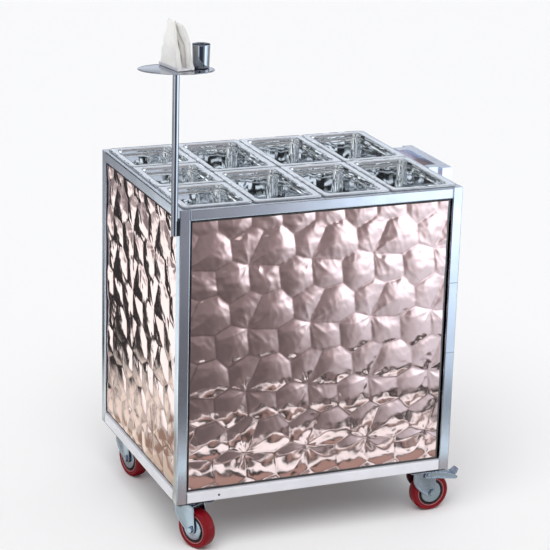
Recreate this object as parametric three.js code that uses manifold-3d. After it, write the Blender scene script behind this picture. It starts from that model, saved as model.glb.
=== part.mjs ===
// Snack trolley: a welded square-tube cabinet on four swivelling casters.
// Nine lift-out food pans hang in its top, embossed sheets close its front and sides,
// two hinged doors close its back, a push handle stands off its right side, and a pole
// at the front left corner holds a small oval tray with a napkin holder and a cup.
// Millimetres. +Z is up, +X is the right side, and the front faces -Y.
import * as THREE from 'three';
import { mergeVertices } from 'three/addons/utils/BufferGeometryUtils.js';
import Module from 'manifold-3d';

const wasm = await Module();
wasm.setup();

// Driving dimensions of the cabinet
const frameWidth = 680;
const frameDepth = 556;
const frameHeight = 688;
const casterHeight = 122;
const tubeSize = 25;
const tubeWall = 1.5;
const tubeRound = 2.5;
const fitGap = 0.3;
const overrun = 1;

// Sheet panels and doors
const sheetThickness = 1.2;
const panelReveal = 4;
const panelRecess = 7;
const panelReturn = 11;
const hatHeight = 20;
const hatDepth = 9;
const hatHeightShares = [0.25, 0.75];
const doorMeetingGap = 4;
const doorPullHeight = 120;
const doorPullDepth = 14;
const doorStopWidth = 60;
const doorStopDrop = 12;
const deckMargin = 8;

// Door hinges: barrels that are welded on, the lower one with the pin
const barrelRadius = 5;
const barrelHeight = 20;
const barrelWeld = 0.6;
const barrelFoot = 8;
const hingePinRadius = 2.9;
const hingeBoreRadius = 3.5;
const hingePinHeight = 16;
const hingeLeafLength = 22;
const hingeLeafThickness = 2.5;
const hingeHeightShares = [0.16, 0.82];

// Food pans and the bars that carry them; the rims end this far inside the frame's edge
const panRimMargin = 11.5;
const panDepth = 100;
const panGap = 3;
const smallPanGap = 2.5;
const panFlange = 15;
const panSheet = 1;
const panLip = 4;
const panRimRound = 8;
const panWallRound = 16;
const panDraft = 4;
const panFloorRound = 8;
const panEdgeRound = 1.2;
const panColumns = 4;
const smallPanNames = ['front', 'middle', 'back'];
const longPanNames = ['front', 'back'];

// Push handle on the right side
const handleLength = 220;
const handleStandOff = 30;
const handleArmInset = 12;

// Pole, its bracket and the oval tray
const poleDiameter = 15;
const poleWall = 1.2;
const poleDrop = 56;
const poleRise = 308;
const poleSetBack = 6;
const poleStandOff = 3;
const bracketHeight = 33;
const bracketDepth = 22;
const bracketThickness = 8;
const trayLength = 164;
const trayWidth = 106;
const trayThickness = 2;
const trayEdge = 0.7;
const trayAngle = THREE.MathUtils.degToRad(-19);

// What stands on the tray
const holderLength = 82;
const holderWidth = 40;
const holderSheet = 1;
const holderLipHeight = 7;
const holderX = 6;
const holderY = 15;
const holderAngle = THREE.MathUtils.degToRad(10);
const napkinHeight = 96;
const napkinTopHeight = 90;
const napkinBase = 11;
const napkinTop = 6;
const napkinLeanLeft = 4;
const napkinLeanRight = 16;
const napkinClearance = 1.2;
const napkinShoulder = 14;
const cupHeight = 50;
const cupTopRadius = 19.5;
const cupBaseRadius = 17;
const cupSheet = 0.9;
const cupX = 56;
const cupY = 2;

// Casters
const casterInsetX = 49;
const casterInsetY = 56;
const casterPlateWidth = 92;
const casterPlateLength = 106;
const casterPlateThickness = 3.2;
const casterPlateRound = 7;
const casterSlotLength = 14;
const casterSlotWidth = 8;
const casterSlotInset = 10;
const raceRadius = 25;
const raceHeight = 6;
const crownRadius = 29;
const crownHeight = 9;
const crownPlate = 3;
const swivelGap = 0.5;
const casterTrail = 28;
const tyreRadius = 47;
const tyreWidth = 30;
const tyreInnerRadius = 32;
const tyreShoulder = 6;
const tyreCrownDrop = 1.2;
const wheelSegments = 32;
const coreRimWidth = 27;
const coreRimThickness = 3.5;
const coreWebWidth = 9;
const coreBossRadius = 11;
const coreBossWidth = 28;
const coreBoreClearance = 0.5;
const axleRadius = 4;
const axleHeadRadius = 7.5;
const axleHeadHeight = 5;
const guardRadius = 26;
const guardThickness = 1;
const guardGap = 0.5;
const forkSheet = 2.5;
const forkSideGap = 2.5;
const forkTopHalf = 27;
const forkLegShift = 5;
const forkBellyShare = 0.58;
const forkBellyExtra = 2;
const forkBossRadius = 11;
const pedalPinRadius = 3;
const pedalPinLength = 4;
const pedalPinClearance = 0.4;
const pedalPinX = 14;
const pedalPinDrop = 8;
const pedalCheek = 2;
const pedalCheekGap = 0.5;
const pedalLength = 90;
const pedalToeHalf = 11;
const pedalCheekShares = [
  [-0.09, -0.09], [0.26, -0.11], [0.62, -0.155], [0.69, -0.045], [0.22, 0.075], [-0.055, 0.075],
];
const pedalToeShares = [
  [0.31, 0.065], [0.555, -0.011], [0.867, -0.167], [0.983, -0.017],
  [1, -0.04], [0.872, -0.206], [0.555, -0.04], [0.31, 0.037],
];
const pedalBridgeShares = [[0.31, 0.065], [0.555, -0.011], [0.555, -0.04], [0.31, 0.037]];
const forkBossArcShares = [1.15, 2.05];
const yawDegrees = { front_left: -64, front_right: 3, back_left: -77, back_right: -60 };

// Counts of facets
const cornerSteps = 3;
const tubeCornerSteps = 1;
const roundSteps = 24;
const smallSteps = 12;
const hexSides = 6;

// Finishes
const finish = (color, roughness, metalness) =>
  new THREE.MeshStandardMaterial({ color, roughness, metalness });
const frameSteel = finish(0xc9ced6, 0.28, 1);
const mirrorSteel = finish(0xd6dadd, 0.12, 1);
const roseSheet = finish(0xd9a79b, 0.15, 1);
const plainSheet = finish(0xb9bdc2, 0.35, 1);
const zincSteel = finish(0xb4bcc6, 0.35, 1);
const redTyre = finish(0xa01722, 0.4, 0);
const blackCore = finish(0x17181b, 0.5, 0);
const whitePaper = finish(0xf6f5f1, 0.9, 0);

// Geometry helpers

// A closed geometry with shared corners and its faces pointing out
function closed(geometry) {
  const bare = geometry.index ? geometry.clone() : mergeVertices(geometry);
  bare.deleteAttribute('normal');
  bare.deleteAttribute('uv');
  const merged = mergeVertices(bare);
  const at = merged.attributes.position;
  const index = merged.index.array;
  const [a, b, c] = [new THREE.Vector3(), new THREE.Vector3(), new THREE.Vector3()];
  const kept = [];
  let volume = 0;
  for (let i = 0; i < index.length; i += 3) {
    if (index[i] === index[i + 1] || index[i + 1] === index[i + 2] || index[i] === index[i + 2]) continue;
    kept.push(index[i], index[i + 1], index[i + 2]);
    a.fromBufferAttribute(at, index[i]);
    b.fromBufferAttribute(at, index[i + 1]);
    c.fromBufferAttribute(at, index[i + 2]);
    volume += a.dot(b.cross(c));
  }
  if (volume < 0) {
    for (let i = 0; i < kept.length; i += 3) [kept[i], kept[i + 1]] = [kept[i + 1], kept[i]];
  }
  merged.setIndex(kept);
  merged.computeVertexNormals();
  return merged;
}

function solid(geometry) {
  const mesh = closed(geometry);
  const vertProperties = Float32Array.from(mesh.attributes.position.array);
  const triVerts = Uint32Array.from(mesh.index.array);
  return new wasm.Manifold(new wasm.Mesh({ numProp: 3, vertProperties, triVerts }));
}

function shapeOf(manifold) {
  const mesh = manifold.getMesh();
  const geometry = new THREE.BufferGeometry();
  geometry.setAttribute('position', new THREE.BufferAttribute(Float32Array.from(mesh.vertProperties), 3));
  geometry.setIndex(new THREE.BufferAttribute(Uint32Array.from(mesh.triVerts), 1));
  geometry.computeVertexNormals();
  return geometry;
}

function join(...geometries) {
  return shapeOf(geometries.map(solid).reduce((whole, piece) => whole.add(piece)));
}

function cut(base, ...tools) {
  return shapeOf(tools.map(solid).reduce((whole, tool) => whole.subtract(tool), solid(base)));
}

// A box given by its two ends along each axis
function slab(x, y, z) {
  const geometry = new THREE.BoxGeometry(x[1] - x[0], y[1] - y[0], z[1] - z[0]);
  return geometry.translate((x[0] + x[1]) / 2, (y[0] + y[1]) / 2, (z[0] + z[1]) / 2);
}

// A rounded rectangle about its centre
function roundedOutline(width, height, radius, kind = THREE.Shape) {
  const outline = new kind();
  const [x, y] = [width / 2 - radius, height / 2 - radius];
  outline.absarc(x, -y, radius, -Math.PI / 2, 0);
  outline.absarc(x, y, radius, 0, Math.PI / 2);
  outline.absarc(-x, y, radius, Math.PI / 2, Math.PI);
  outline.absarc(-x, -y, radius, Math.PI, 1.5 * Math.PI);
  outline.closePath();
  return outline;
}

function prism(outline, height, curveSegments = cornerSteps) {
  return new THREE.ExtrudeGeometry(outline, { depth: height, bevelEnabled: false, curveSegments });
}

// A plate standing in the XZ plane, from an outline drawn in x and z
function standingPlate(outline, y, thickness, curveSegments) {
  return prism(outline, thickness, curveSegments).rotateX(Math.PI / 2).translate(0, y + thickness, 0);
}

// Square tube, open at both ends, from z = 0 up
function squareTube(length) {
  const bore = tubeSize - 2 * tubeWall;
  const section = roundedOutline(tubeSize, tubeSize, tubeRound);
  section.holes.push(roundedOutline(bore, bore, tubeRound - tubeWall, THREE.Path));
  return prism(section, length, tubeCornerSteps);
}

function roundTube(radius, wall, length) {
  const section = new THREE.Shape().absarc(0, 0, radius, 0, 2 * Math.PI);
  section.holes.push(new THREE.Path().absarc(0, 0, radius - wall, 0, 2 * Math.PI));
  return prism(section, length, roundSteps / 2);
}

// Upright cylinder between two heights
function post(radius, z, steps = roundSteps) {
  const geometry = new THREE.CylinderGeometry(radius, radius, z[1] - z[0], steps);
  return geometry.rotateX(Math.PI / 2).translate(0, 0, (z[0] + z[1]) / 2);
}

// Cylinder along Y between two places
function rod(radius, y, steps = roundSteps) {
  return new THREE.CylinderGeometry(radius, radius, y[1] - y[0], steps).translate(0, (y[0] + y[1]) / 2, 0);
}

// Skin over a stack of rings with the same number of points, closed at both ends
function loft(rings) {
  const count = rings[0].length;
  const positions = rings.flat().flatMap((point) => point.toArray());
  const index = [];
  for (let row = 0; row + 1 < rings.length; row += 1) {
    for (let i = 0; i < count; i += 1) {
      const [a, b] = [row * count + i, row * count + ((i + 1) % count)];
      index.push(a, b, b + count, a, b + count, a + count);
    }
  }
  const last = (rings.length - 1) * count;
  for (let i = 1; i + 1 < count; i += 1) {
    index.push(0, i + 1, i);
    index.push(last, last + i, last + i + 1);
  }
  const geometry = new THREE.BufferGeometry();
  geometry.setAttribute('position', new THREE.Float32BufferAttribute(positions, 3));
  geometry.setIndex(index);
  return geometry;
}

function rectangleRing(width, length, radius, z) {
  const ring = [];
  const corners = [[1, -1, -0.5], [1, 1, 0], [-1, 1, 0.5], [-1, -1, 1]];
  for (const [sideX, sideY, turn] of corners) {
    for (let step = 0; step <= cornerSteps; step += 1) {
      const angle = Math.PI * (turn + step / cornerSteps / 2);
      ring.push(new THREE.Vector3(
        sideX * (width / 2 - radius) + radius * Math.cos(angle),
        sideY * (length / 2 - radius) + radius * Math.sin(angle),
        z,
      ));
    }
  }
  return ring;
}

function ovalRing(length, width, z) {
  return Array.from({ length: roundSteps }, (_, i) => {
    const angle = (2 * Math.PI * i) / roundSteps;
    return new THREE.Vector3((length / 2) * Math.cos(angle), (width / 2) * Math.sin(angle), z);
  });
}

// The assembly
const trolley = new THREE.Group();

function place(name, geometry, material, x = 0, y = 0, z = 0, parent = trolley) {
  const mesh = new THREE.Mesh(closed(geometry), material);
  mesh.name = name;
  mesh.position.set(x, y, z);
  parent.add(mesh);
  return mesh;
}

// Places that several pieces share
const left = -frameWidth / 2;
const right = frameWidth / 2;
const front = -frameDepth / 2;
const back = frameDepth / 2;
const frameBottom = casterHeight;
const frameTop = casterHeight + frameHeight;
const openingWidth = frameWidth - 2 * tubeSize;
const openingDepth = frameDepth - 2 * tubeSize;
const openingHeight = frameHeight - 2 * tubeSize;
const openingBottom = frameBottom + tubeSize;
const openingTop = frameTop - tubeSize;

// Frame

// A post is capped at its top and open at its foot
function framePost() {
  const bore = tubeSize - 2 * tubeWall;
  const outside = prism(roundedOutline(tubeSize, tubeSize, tubeRound), frameHeight, tubeCornerSteps);
  const hollow = slab([-bore / 2, bore / 2], [-bore / 2, bore / 2], [0, frameHeight - tubeWall + overrun]);
  return cut(outside, hollow.translate(0, 0, -overrun));
}

// Hinge axes stand just outside the back posts, in line with their inner faces
const hingeX = right - tubeSize;
const hingeY = back + barrelRadius + fitGap;
const doorHeight = openingHeight - 2 * panelReveal;
const doorBottom = openingBottom + panelReveal;
const hingeHeights = hingeHeightShares.map((share) => doorBottom + share * doorHeight);

// A back post carries the lower barrels and their pins; side is -1 on the left
function backPost(side) {
  const postX = side * (right - tubeSize / 2);
  const postY = back - tubeSize / 2;
  const pieces = [framePost()];
  for (const height of hingeHeights) {
    const foot = height - frameBottom;
    const x = [side * hingeX, side * (hingeX + barrelFoot)].sort((a, b) => a - b);
    const weld = slab(x, [back - barrelWeld, hingeY], [foot, foot + barrelHeight]);
    pieces.push(weld.translate(-postX, -postY, 0));
    pieces.push(post(barrelRadius, [foot, foot + barrelHeight], smallSteps)
      .translate(side * hingeX - postX, hingeY - postY, 0));
    pieces.push(post(hingePinRadius, [foot, foot + barrelHeight + hingePinHeight], smallSteps)
      .translate(side * hingeX - postX, hingeY - postY, 0));
  }
  return join(...pieces);
}

const postX = right - tubeSize / 2;
const postY = back - tubeSize / 2;
place('post_front_left', framePost(), frameSteel, -postX, -postY, frameBottom);
place('post_front_right', framePost(), frameSteel, postX, -postY, frameBottom);
place('post_back_left', backPost(-1), frameSteel, -postX, postY, frameBottom);
place('post_back_right', backPost(1), frameSteel, postX, postY, frameBottom);

// Rails and bars butt between their neighbours
const railAlongX = () => {
  const length = openingWidth - 2 * fitGap;
  return squareTube(length).translate(0, 0, -length / 2).rotateY(Math.PI / 2);
};
const railAlongY = () => {
  const length = openingDepth - 2 * fitGap;
  return squareTube(length).translate(0, 0, -length / 2).rotateX(Math.PI / 2);
};

// The back rail has a tab that the closed doors stop against
const doorInnerFace = back - panelRecess - panelReturn;
function topBackRail() {
  const stop = slab(
    [-doorStopWidth / 2, doorStopWidth / 2],
    [doorInnerFace - fitGap - hingeLeafThickness, doorInnerFace - fitGap],
    [-tubeSize / 2 - doorStopDrop, -tubeSize / 2 + tubeWall / 2],
  ).translate(0, -postY, 0);
  return join(railAlongX(), stop);
}

const topRailZ = frameTop - tubeSize / 2;
const bottomRailZ = frameBottom + tubeSize / 2;
place('top_rail_front', railAlongX(), frameSteel, 0, -postY, topRailZ);
place('top_rail_back', topBackRail(), frameSteel, 0, postY, topRailZ);
place('top_rail_left', railAlongY(), frameSteel, -postX, 0, topRailZ);
place('top_rail_right', railAlongY(), frameSteel, postX, 0, topRailZ);
place('bottom_rail_front', railAlongX(), frameSteel, 0, -postY, bottomRailZ);
place('bottom_rail_back', railAlongX(), frameSteel, 0, postY, bottomRailZ);
place('bottom_rail_left', railAlongY(), frameSteel, -postX, 0, bottomRailZ);
place('bottom_rail_right', railAlongY(), frameSteel, postX, 0, bottomRailZ);

// Pans fill the frame's top in equal columns, and each column in equal rows
const panSpanX = frameWidth - 2 * panRimMargin;
const panSpanY = frameDepth - 2 * panRimMargin;
const panPitch = (panSpanX + panGap) / panColumns;
const panWidth = panPitch - panGap;

// Bars between the pan columns
for (let bar = 1; bar < panColumns; bar += 1) {
  place(`pan_bar_${bar}`, railAlongY(), frameSteel, (bar - panColumns / 2) * panPitch, 0, topRailZ);
}

// Storage deck on the bottom rails, notched round the posts
function storageDeck() {
  const [halfX, halfY] = [frameWidth / 2 - deckMargin, frameDepth / 2 - deckMargin];
  const sheet = slab([-halfX, halfX], [-halfY, halfY], [0, sheetThickness]);
  const notches = [];
  for (const x of [-postX, postX]) {
    for (const y of [-postY, postY]) {
      const reach = tubeSize / 2 + fitGap;
      const through = [-overrun, sheetThickness + overrun];
      notches.push(slab([x - reach, x + reach], [y - reach, y + reach], through));
    }
  }
  return cut(sheet, ...notches);
}
place('storage_deck', storageDeck(), plainSheet, 0, 0, openingBottom + fitGap);

// Sheet panels

// A sheet with its four edges folded back; its outer face is at y = 0
function foldedSheet(x, z) {
  const insideX = [x[0] + sheetThickness, x[1] - sheetThickness];
  const insideY = [sheetThickness, panelReturn + overrun];
  const insideZ = [z[0] + sheetThickness, z[1] - sheetThickness];
  return cut(slab(x, [0, panelReturn], z), slab(insideX, insideY, insideZ));
}

// A fixed panel hangs on two hat channels that reach the posts
function fixedPanel(opening) {
  const half = opening / 2 - panelReveal;
  const reach = opening / 2 - fitGap;
  const channels = hatHeightShares.map((share) => share * doorHeight - hatHeight / 2);
  const hats = channels.map((z) => slab([-reach, reach], [0, hatDepth], [z, z + hatHeight]));
  const bores = channels.map((z) => slab(
    [-reach - overrun, reach + overrun],
    [sheetThickness, hatDepth - sheetThickness],
    [z + sheetThickness, z + hatHeight - sheetThickness],
  ));
  const proud = slab([half, reach + overrun], [-overrun, sheetThickness], [0, doorHeight]);
  const proudLeft = slab([-reach - overrun, -half], [-overrun, sheetThickness], [0, doorHeight]);
  const panel = join(foldedSheet([-half, half], [0, doorHeight]), ...hats);
  return cut(panel, ...bores, proud, proudLeft);
}

const panelY = frameDepth / 2 - panelRecess;
const panelX = frameWidth / 2 - panelRecess;
place('front_panel', fixedPanel(openingWidth), roseSheet, 0, -panelY, doorBottom);
place('left_panel', fixedPanel(openingDepth).rotateZ(-Math.PI / 2), roseSheet, -panelX, 0, doorBottom);
place('right_panel', fixedPanel(openingDepth).rotateZ(Math.PI / 2), roseSheet, panelX, 0, doorBottom);

// Back doors, each with folded edges, a finger pull and the upper hinge barrels
function rightDoor() {
  const edge = openingWidth / 2 - panelReveal;
  const sheet = foldedSheet([-edge, -doorMeetingGap / 2], [0, doorHeight]).rotateZ(Math.PI)
    .translate(0, back - panelRecess, doorBottom);
  const face = back - panelRecess - sheetThickness / 2;
  const middle = doorBottom + doorHeight / 2;
  const pullX = doorMeetingGap / 2;
  const pull = slab(
    [pullX, pullX + hingeLeafThickness],
    [face, back - panelRecess + doorPullDepth],
    [middle - doorPullHeight / 2, middle + doorPullHeight / 2],
  );
  const pieces = [sheet, pull];
  const bores = [];
  for (const height of hingeHeights) {
    const foot = height + barrelHeight + fitGap;
    const head = foot + barrelHeight;
    pieces.push(post(barrelRadius, [foot, head], smallSteps).translate(hingeX, hingeY, 0));
    const leafEnd = hingeX - hingeLeafLength;
    pieces.push(slab([leafEnd, hingeX - panelReveal], [face, hingeY], [foot, head]));
    pieces.push(slab([leafEnd, hingeX], [hingeY - hingeLeafThickness / 2, hingeY], [foot, head]));
    bores.push(post(hingeBoreRadius, [foot - overrun, foot + hingePinHeight + overrun], smallSteps)
      .translate(hingeX, hingeY, 0));
  }
  return cut(join(...pieces), ...bores);
}
place('door_right', rightDoor(), roseSheet);
place('door_left', rightDoor().scale(-1, 1, 1), roseSheet);

// Food pans

// A pan hangs by its flange; z = 0 is the top of its rim
function foodPan(length) {
  const ring = (inset, radius, z) => rectangleRing(panWidth - 2 * inset, length - 2 * inset, radius, z);
  const floor = -panDepth;
  const wallFoot = panFlange + panDraft;
  return loft([
    ring(wallFoot + panFloorRound, panWallRound, floor),
    ring(wallFoot, panWallRound, floor + panFloorRound),
    ring(panFlange, panWallRound, -panSheet),
    ring(panSheet, panRimRound - panSheet, -panSheet),
    ring(panSheet, panRimRound - panSheet, -panLip),
    ring(0, panRimRound, -panLip),
    ring(0, panRimRound, -panEdgeRound),
    ring(panEdgeRound, panRimRound - panEdgeRound, 0),
    ring(panFlange - panEdgeRound, panWallRound, 0),
    ring(panFlange + panSheet, panWallRound, -panEdgeRound - panSheet),
    ring(wallFoot + panSheet, panWallRound, floor + panFloorRound),
    ring(wallFoot + panFloorRound, panWallRound, floor + panSheet),
  ]);
}

const panRimTop = frameTop + panLip + fitGap;
for (let column = 0; column < panColumns; column += 1) {
  const small = column === 0;
  const names = small ? smallPanNames : longPanNames;
  const gap = small ? smallPanGap : panGap;
  const pitch = (panSpanY + gap) / names.length;
  names.forEach((word, row) => {
    const name = small ? `small_pan_${word}` : `long_pan_${word}_${column}`;
    const x = (column - (panColumns - 1) / 2) * panPitch;
    const y = (row - (names.length - 1) / 2) * pitch;
    place(name, foodPan(pitch - gap), mirrorSteel, x, y, panRimTop);
  });
}

// Push handle: a bar on two arms, hollow, open where the arms meet the side rail
function pushHandle() {
  const half = handleLength / 2;
  const armNear = half - handleArmInset - tubeSize;
  const barX = [handleStandOff, handleStandOff + tubeSize];
  const z = [-tubeSize, 0];
  const hollowZ = [-tubeSize + tubeWall, -tubeWall];
  const arms = [-1, 1].map((side) => {
    const y = [side * armNear, side * (armNear + tubeSize)].sort((a, b) => a - b);
    return {
      outer: slab([fitGap, handleStandOff + tubeWall], y, z),
      hollow: slab([0, handleStandOff + tubeSize / 2], [y[0] + tubeWall, y[1] - tubeWall], hollowZ),
    };
  });
  const bar = slab(barX, [-half, half], z);
  const barInside = [barX[0] + tubeWall, barX[1] - tubeWall];
  const barHollow = slab(barInside, [-half + tubeWall, half - tubeWall], hollowZ);
  return cut(join(bar, ...arms.map((arm) => arm.outer)), barHollow, ...arms.map((arm) => arm.hollow));
}
place('push_handle', pushHandle(), frameSteel, right, 0, frameTop);

// Pole and the bracket that holds it to the front left post
const poleRadius = poleDiameter / 2;
const poleX = left - poleStandOff - poleRadius;
const poleY = front + poleSetBack;
const poleFoot = frameTop - poleDrop;
const poleTop = frameTop + poleRise;
const poleTube = roundTube(poleRadius, poleWall, poleTop - poleFoot);
place('tray_pole', poleTube, mirrorSteel, poleX, poleY, poleFoot);

function poleBracket() {
  const y = [-poleRadius, bracketDepth - poleSetBack];
  const x = [poleRadius + poleStandOff - bracketThickness, poleRadius + poleStandOff - fitGap];
  const pocket = post(poleRadius + fitGap, [-overrun, bracketHeight + overrun]);
  return cut(slab(x, y, [0, bracketHeight]), pocket);
}
place('pole_bracket', poleBracket(), zincSteel, poleX, poleY, poleFoot + fitGap);

// Tray and what stands on it, in the tray's own turned group
const trayGroup = new THREE.Group();
trayGroup.position.set(poleX, poleY, poleTop + fitGap);
trolley.add(trayGroup);

const trayPlate = loft([
  ovalRing(trayLength - 2 * trayEdge, trayWidth - 2 * trayEdge, 0),
  ovalRing(trayLength, trayWidth, trayEdge),
  ovalRing(trayLength, trayWidth, trayThickness - trayEdge),
  ovalRing(trayLength - 2 * trayEdge, trayWidth - 2 * trayEdge, trayThickness),
]);
place('oval_tray', trayPlate, mirrorSteel, 0, 0, 0, trayGroup).rotation.z = trayAngle;

const standing = trayThickness + fitGap;
const holderGroup = new THREE.Group();
holderGroup.position.set(holderX, holderY, standing);
holderGroup.rotation.z = holderAngle;
trayGroup.add(holderGroup);

// Bent channel with a lip along each long side
function napkinHolder() {
  const [x, y] = [holderWidth / 2, holderLength / 2];
  const inside = holderWidth / 2 - holderSheet;
  return cut(
    slab([-x, x], [-y, y], [0, holderLipHeight]),
    slab([-inside, inside], [-y - overrun, y + overrun], [holderSheet, holderLipHeight + overrun]),
  );
}
place('napkin_holder', napkinHolder(), mirrorSteel, 0, 0, 0, holderGroup);

// A bunch of folded napkins leans inward; side is -1 on the left
function napkinBunch(side, height, lean) {
  const foot = holderWidth / 2 - holderSheet - napkinClearance;
  const half = holderLength / 2 - napkinClearance;
  const outline = new THREE.Shape();
  outline.moveTo(-half, 0);
  outline.lineTo(half, 0);
  outline.lineTo(half, height - napkinShoulder);
  outline.lineTo(half - napkinShoulder, height);
  outline.lineTo(napkinShoulder - half, height);
  outline.lineTo(-half, height - napkinShoulder);
  const geometry = standingPlate(outline, 0, napkinBase).rotateZ(Math.PI / 2).translate(foot, 0, 0);
  const at = geometry.attributes.position;
  for (let i = 0; i < at.count; i += 1) {
    const rise = at.getZ(i) / height;
    const inner = foot - at.getX(i);
    const width = THREE.MathUtils.lerp(napkinBase, napkinTop, rise) / napkinBase;
    at.setX(i, side * (foot - inner * width - lean * rise));
  }
  return geometry;
}
const napkinFoot = holderSheet + fitGap;
const leftBunch = napkinBunch(-1, napkinHeight, napkinLeanLeft);
const rightBunch = napkinBunch(1, napkinTopHeight, napkinLeanRight);
place('napkins_left', leftBunch, whitePaper, 0, 0, napkinFoot, holderGroup);
place('napkins_right', rightBunch, whitePaper, 0, 0, napkinFoot, holderGroup);

function steelCup() {
  const profile = [
    [0, 0], [cupBaseRadius, 0], [cupTopRadius, cupHeight], [cupTopRadius - cupSheet, cupHeight],
    [cupBaseRadius - cupSheet, cupSheet], [0, cupSheet],
  ];
  const points = profile.map(([radius, z]) => new THREE.Vector2(radius, z));
  return new THREE.LatheGeometry(points, roundSteps).rotateX(Math.PI / 2);
}
place('steel_cup', steelCup(), mirrorSteel, cupX, cupY, standing, trayGroup);

// Casters: in each, x runs along the trail, y along the axle, and z = 0 is the floor

// The tyre stands on a flat facet, so the axle is a little lower than its radius
const wheelTurn = Math.PI / wheelSegments;
const axleHeight = tyreRadius * Math.cos(wheelTurn);
const plateTop = casterHeight - fitGap;
const plateBottom = plateTop - casterPlateThickness;
const raceBottom = plateBottom - raceHeight;
const crownTop = raceBottom - swivelGap;
const crownBottom = crownTop - crownHeight;
const legInner = tyreWidth / 2 + forkSideGap;
const legOuter = legInner + forkSheet;
const pedalPinHeight = crownBottom - pedalPinDrop;

function casterPlate() {
  const outline = roundedOutline(casterPlateWidth, casterPlateLength, casterPlateRound);
  const plate = prism(outline, casterPlateThickness).translate(0, 0, plateBottom);
  const slots = [];
  const offsetX = casterPlateWidth / 2 - casterSlotInset;
  const offsetY = casterPlateLength / 2 - casterSlotInset;
  for (const x of [-offsetX, offsetX]) {
    for (const y of [-offsetY, offsetY]) {
      slots.push(slab(
        [x - casterSlotLength / 2, x + casterSlotLength / 2],
        [y - casterSlotWidth / 2, y + casterSlotWidth / 2],
        [plateBottom - overrun, plateTop + overrun],
      ));
    }
  }
  return cut(join(plate, post(raceRadius, [raceBottom, plateBottom + casterPlateThickness / 2])), ...slots);
}

// Pressed fork: a crown under the race and two legs that taper to the axle
function casterFork(braked) {
  const legTop = crownBottom + crownPlate;
  const belly = THREE.MathUtils.lerp(crownBottom, axleHeight, forkBellyShare);
  const leg = new THREE.Shape();
  const [near, far] = [forkLegShift - forkTopHalf, forkLegShift + forkTopHalf];
  leg.moveTo(far + forkBellyExtra, belly);
  leg.lineTo(far, legTop);
  leg.lineTo(near, legTop);
  leg.lineTo(near - forkBellyExtra, belly);
  leg.absarc(casterTrail, axleHeight, forkBossRadius, ...forkBossArcShares.map((share) => share * Math.PI));
  leg.closePath();
  const pieces = [
    post(crownRadius, [crownBottom, crownTop]),
    slab([near, far], [-legOuter, legOuter], [crownBottom, legTop]),
    standingPlate(leg, legInner, forkSheet),
    standingPlate(leg, -legOuter, forkSheet),
  ];
  if (braked) {
    for (const side of [-1, 1]) {
      const y = [side * legInner, side * (legOuter + pedalPinLength)].sort((a, b) => a - b);
      pieces.push(rod(pedalPinRadius, y, smallSteps).translate(pedalPinX, 0, pedalPinHeight));
    }
  }
  const axleHole = rod(axleRadius + fitGap, [-legOuter - overrun, legOuter + overrun], smallSteps)
    .translate(casterTrail, 0, axleHeight);
  return cut(join(...pieces), axleHole);
}

// Axle bolt with its nut, and a guard disc clamped on each side of the wheel
function casterAxle() {
  const end = legOuter + fitGap + axleHeadHeight;
  const guard = coreBossWidth / 2 + guardGap;
  const spacer = legInner - fitGap;
  return join(
    rod(axleRadius, [-end + overrun, end - overrun], smallSteps),
    rod(axleHeadRadius, [-end, -legOuter - fitGap], hexSides),
    rod(axleHeadRadius, [legOuter + fitGap, end], hexSides),
    rod(guardRadius, [-guard - guardThickness, -guard]),
    rod(guardRadius, [guard, guard + guardThickness]),
    rod(axleHeadRadius, [-spacer, -guard], smallSteps),
    rod(axleHeadRadius, [guard, spacer], smallSteps),
  );
}

// A ring turned about the wheel's axis, from points of radius and place along it
function wheelRing(profile, segments) {
  const points = [...profile, profile[0]].map(([radius, y]) => new THREE.Vector2(radius, y));
  return new THREE.LatheGeometry(points, segments);
}

function wheelTyre() {
  const half = tyreWidth / 2;
  return wheelRing([
    [tyreInnerRadius, -coreRimWidth / 2],
    [tyreRadius - tyreShoulder, -half],
    [tyreRadius - tyreCrownDrop, tyreShoulder - half],
    [tyreRadius, 0],
    [tyreRadius - tyreCrownDrop, half - tyreShoulder],
    [tyreRadius - tyreShoulder, half],
    [tyreInnerRadius, coreRimWidth / 2],
  ], wheelSegments).rotateY(wheelTurn);
}

function wheelCore() {
  const rimOuter = tyreInnerRadius - fitGap;
  const rimInner = rimOuter - coreRimThickness;
  const bore = axleRadius + coreBoreClearance;
  const [rim, web, boss] = [coreRimWidth / 2, coreWebWidth / 2, coreBossWidth / 2];
  return wheelRing([
    [bore, -boss], [coreBossRadius, -boss], [coreBossRadius, -web], [rimInner, -web], [rimInner, -rim],
    [rimOuter, -rim], [rimOuter, rim], [rimInner, rim], [rimInner, web], [coreBossRadius, web],
    [coreBossRadius, boss], [bore, boss],
  ], roundSteps);
}

// Foot pedal: a cheek outside each fork leg, a bridge between them and a toe that turns up
function brakePedal() {
  const outlineOf = (shares) => new THREE.Shape(shares.map(([x, z]) => (
    new THREE.Vector2(x * pedalLength, z * pedalLength)
  )));
  const cheek = outlineOf(pedalCheekShares);
  cheek.holes.push(new THREE.Path().absarc(0, 0, pedalPinRadius + pedalPinClearance, 0, 2 * Math.PI));
  const inner = legOuter + pedalCheekGap;
  const outer = inner + pedalCheek;
  const middle = (inner + outer) / 2;
  return join(
    standingPlate(cheek, inner, pedalCheek, smallSteps / 2),
    standingPlate(cheek, -outer, pedalCheek, smallSteps / 2),
    standingPlate(outlineOf(pedalBridgeShares), -middle, 2 * middle),
    standingPlate(outlineOf(pedalToeShares), -pedalToeHalf, 2 * pedalToeHalf),
  );
}

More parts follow.
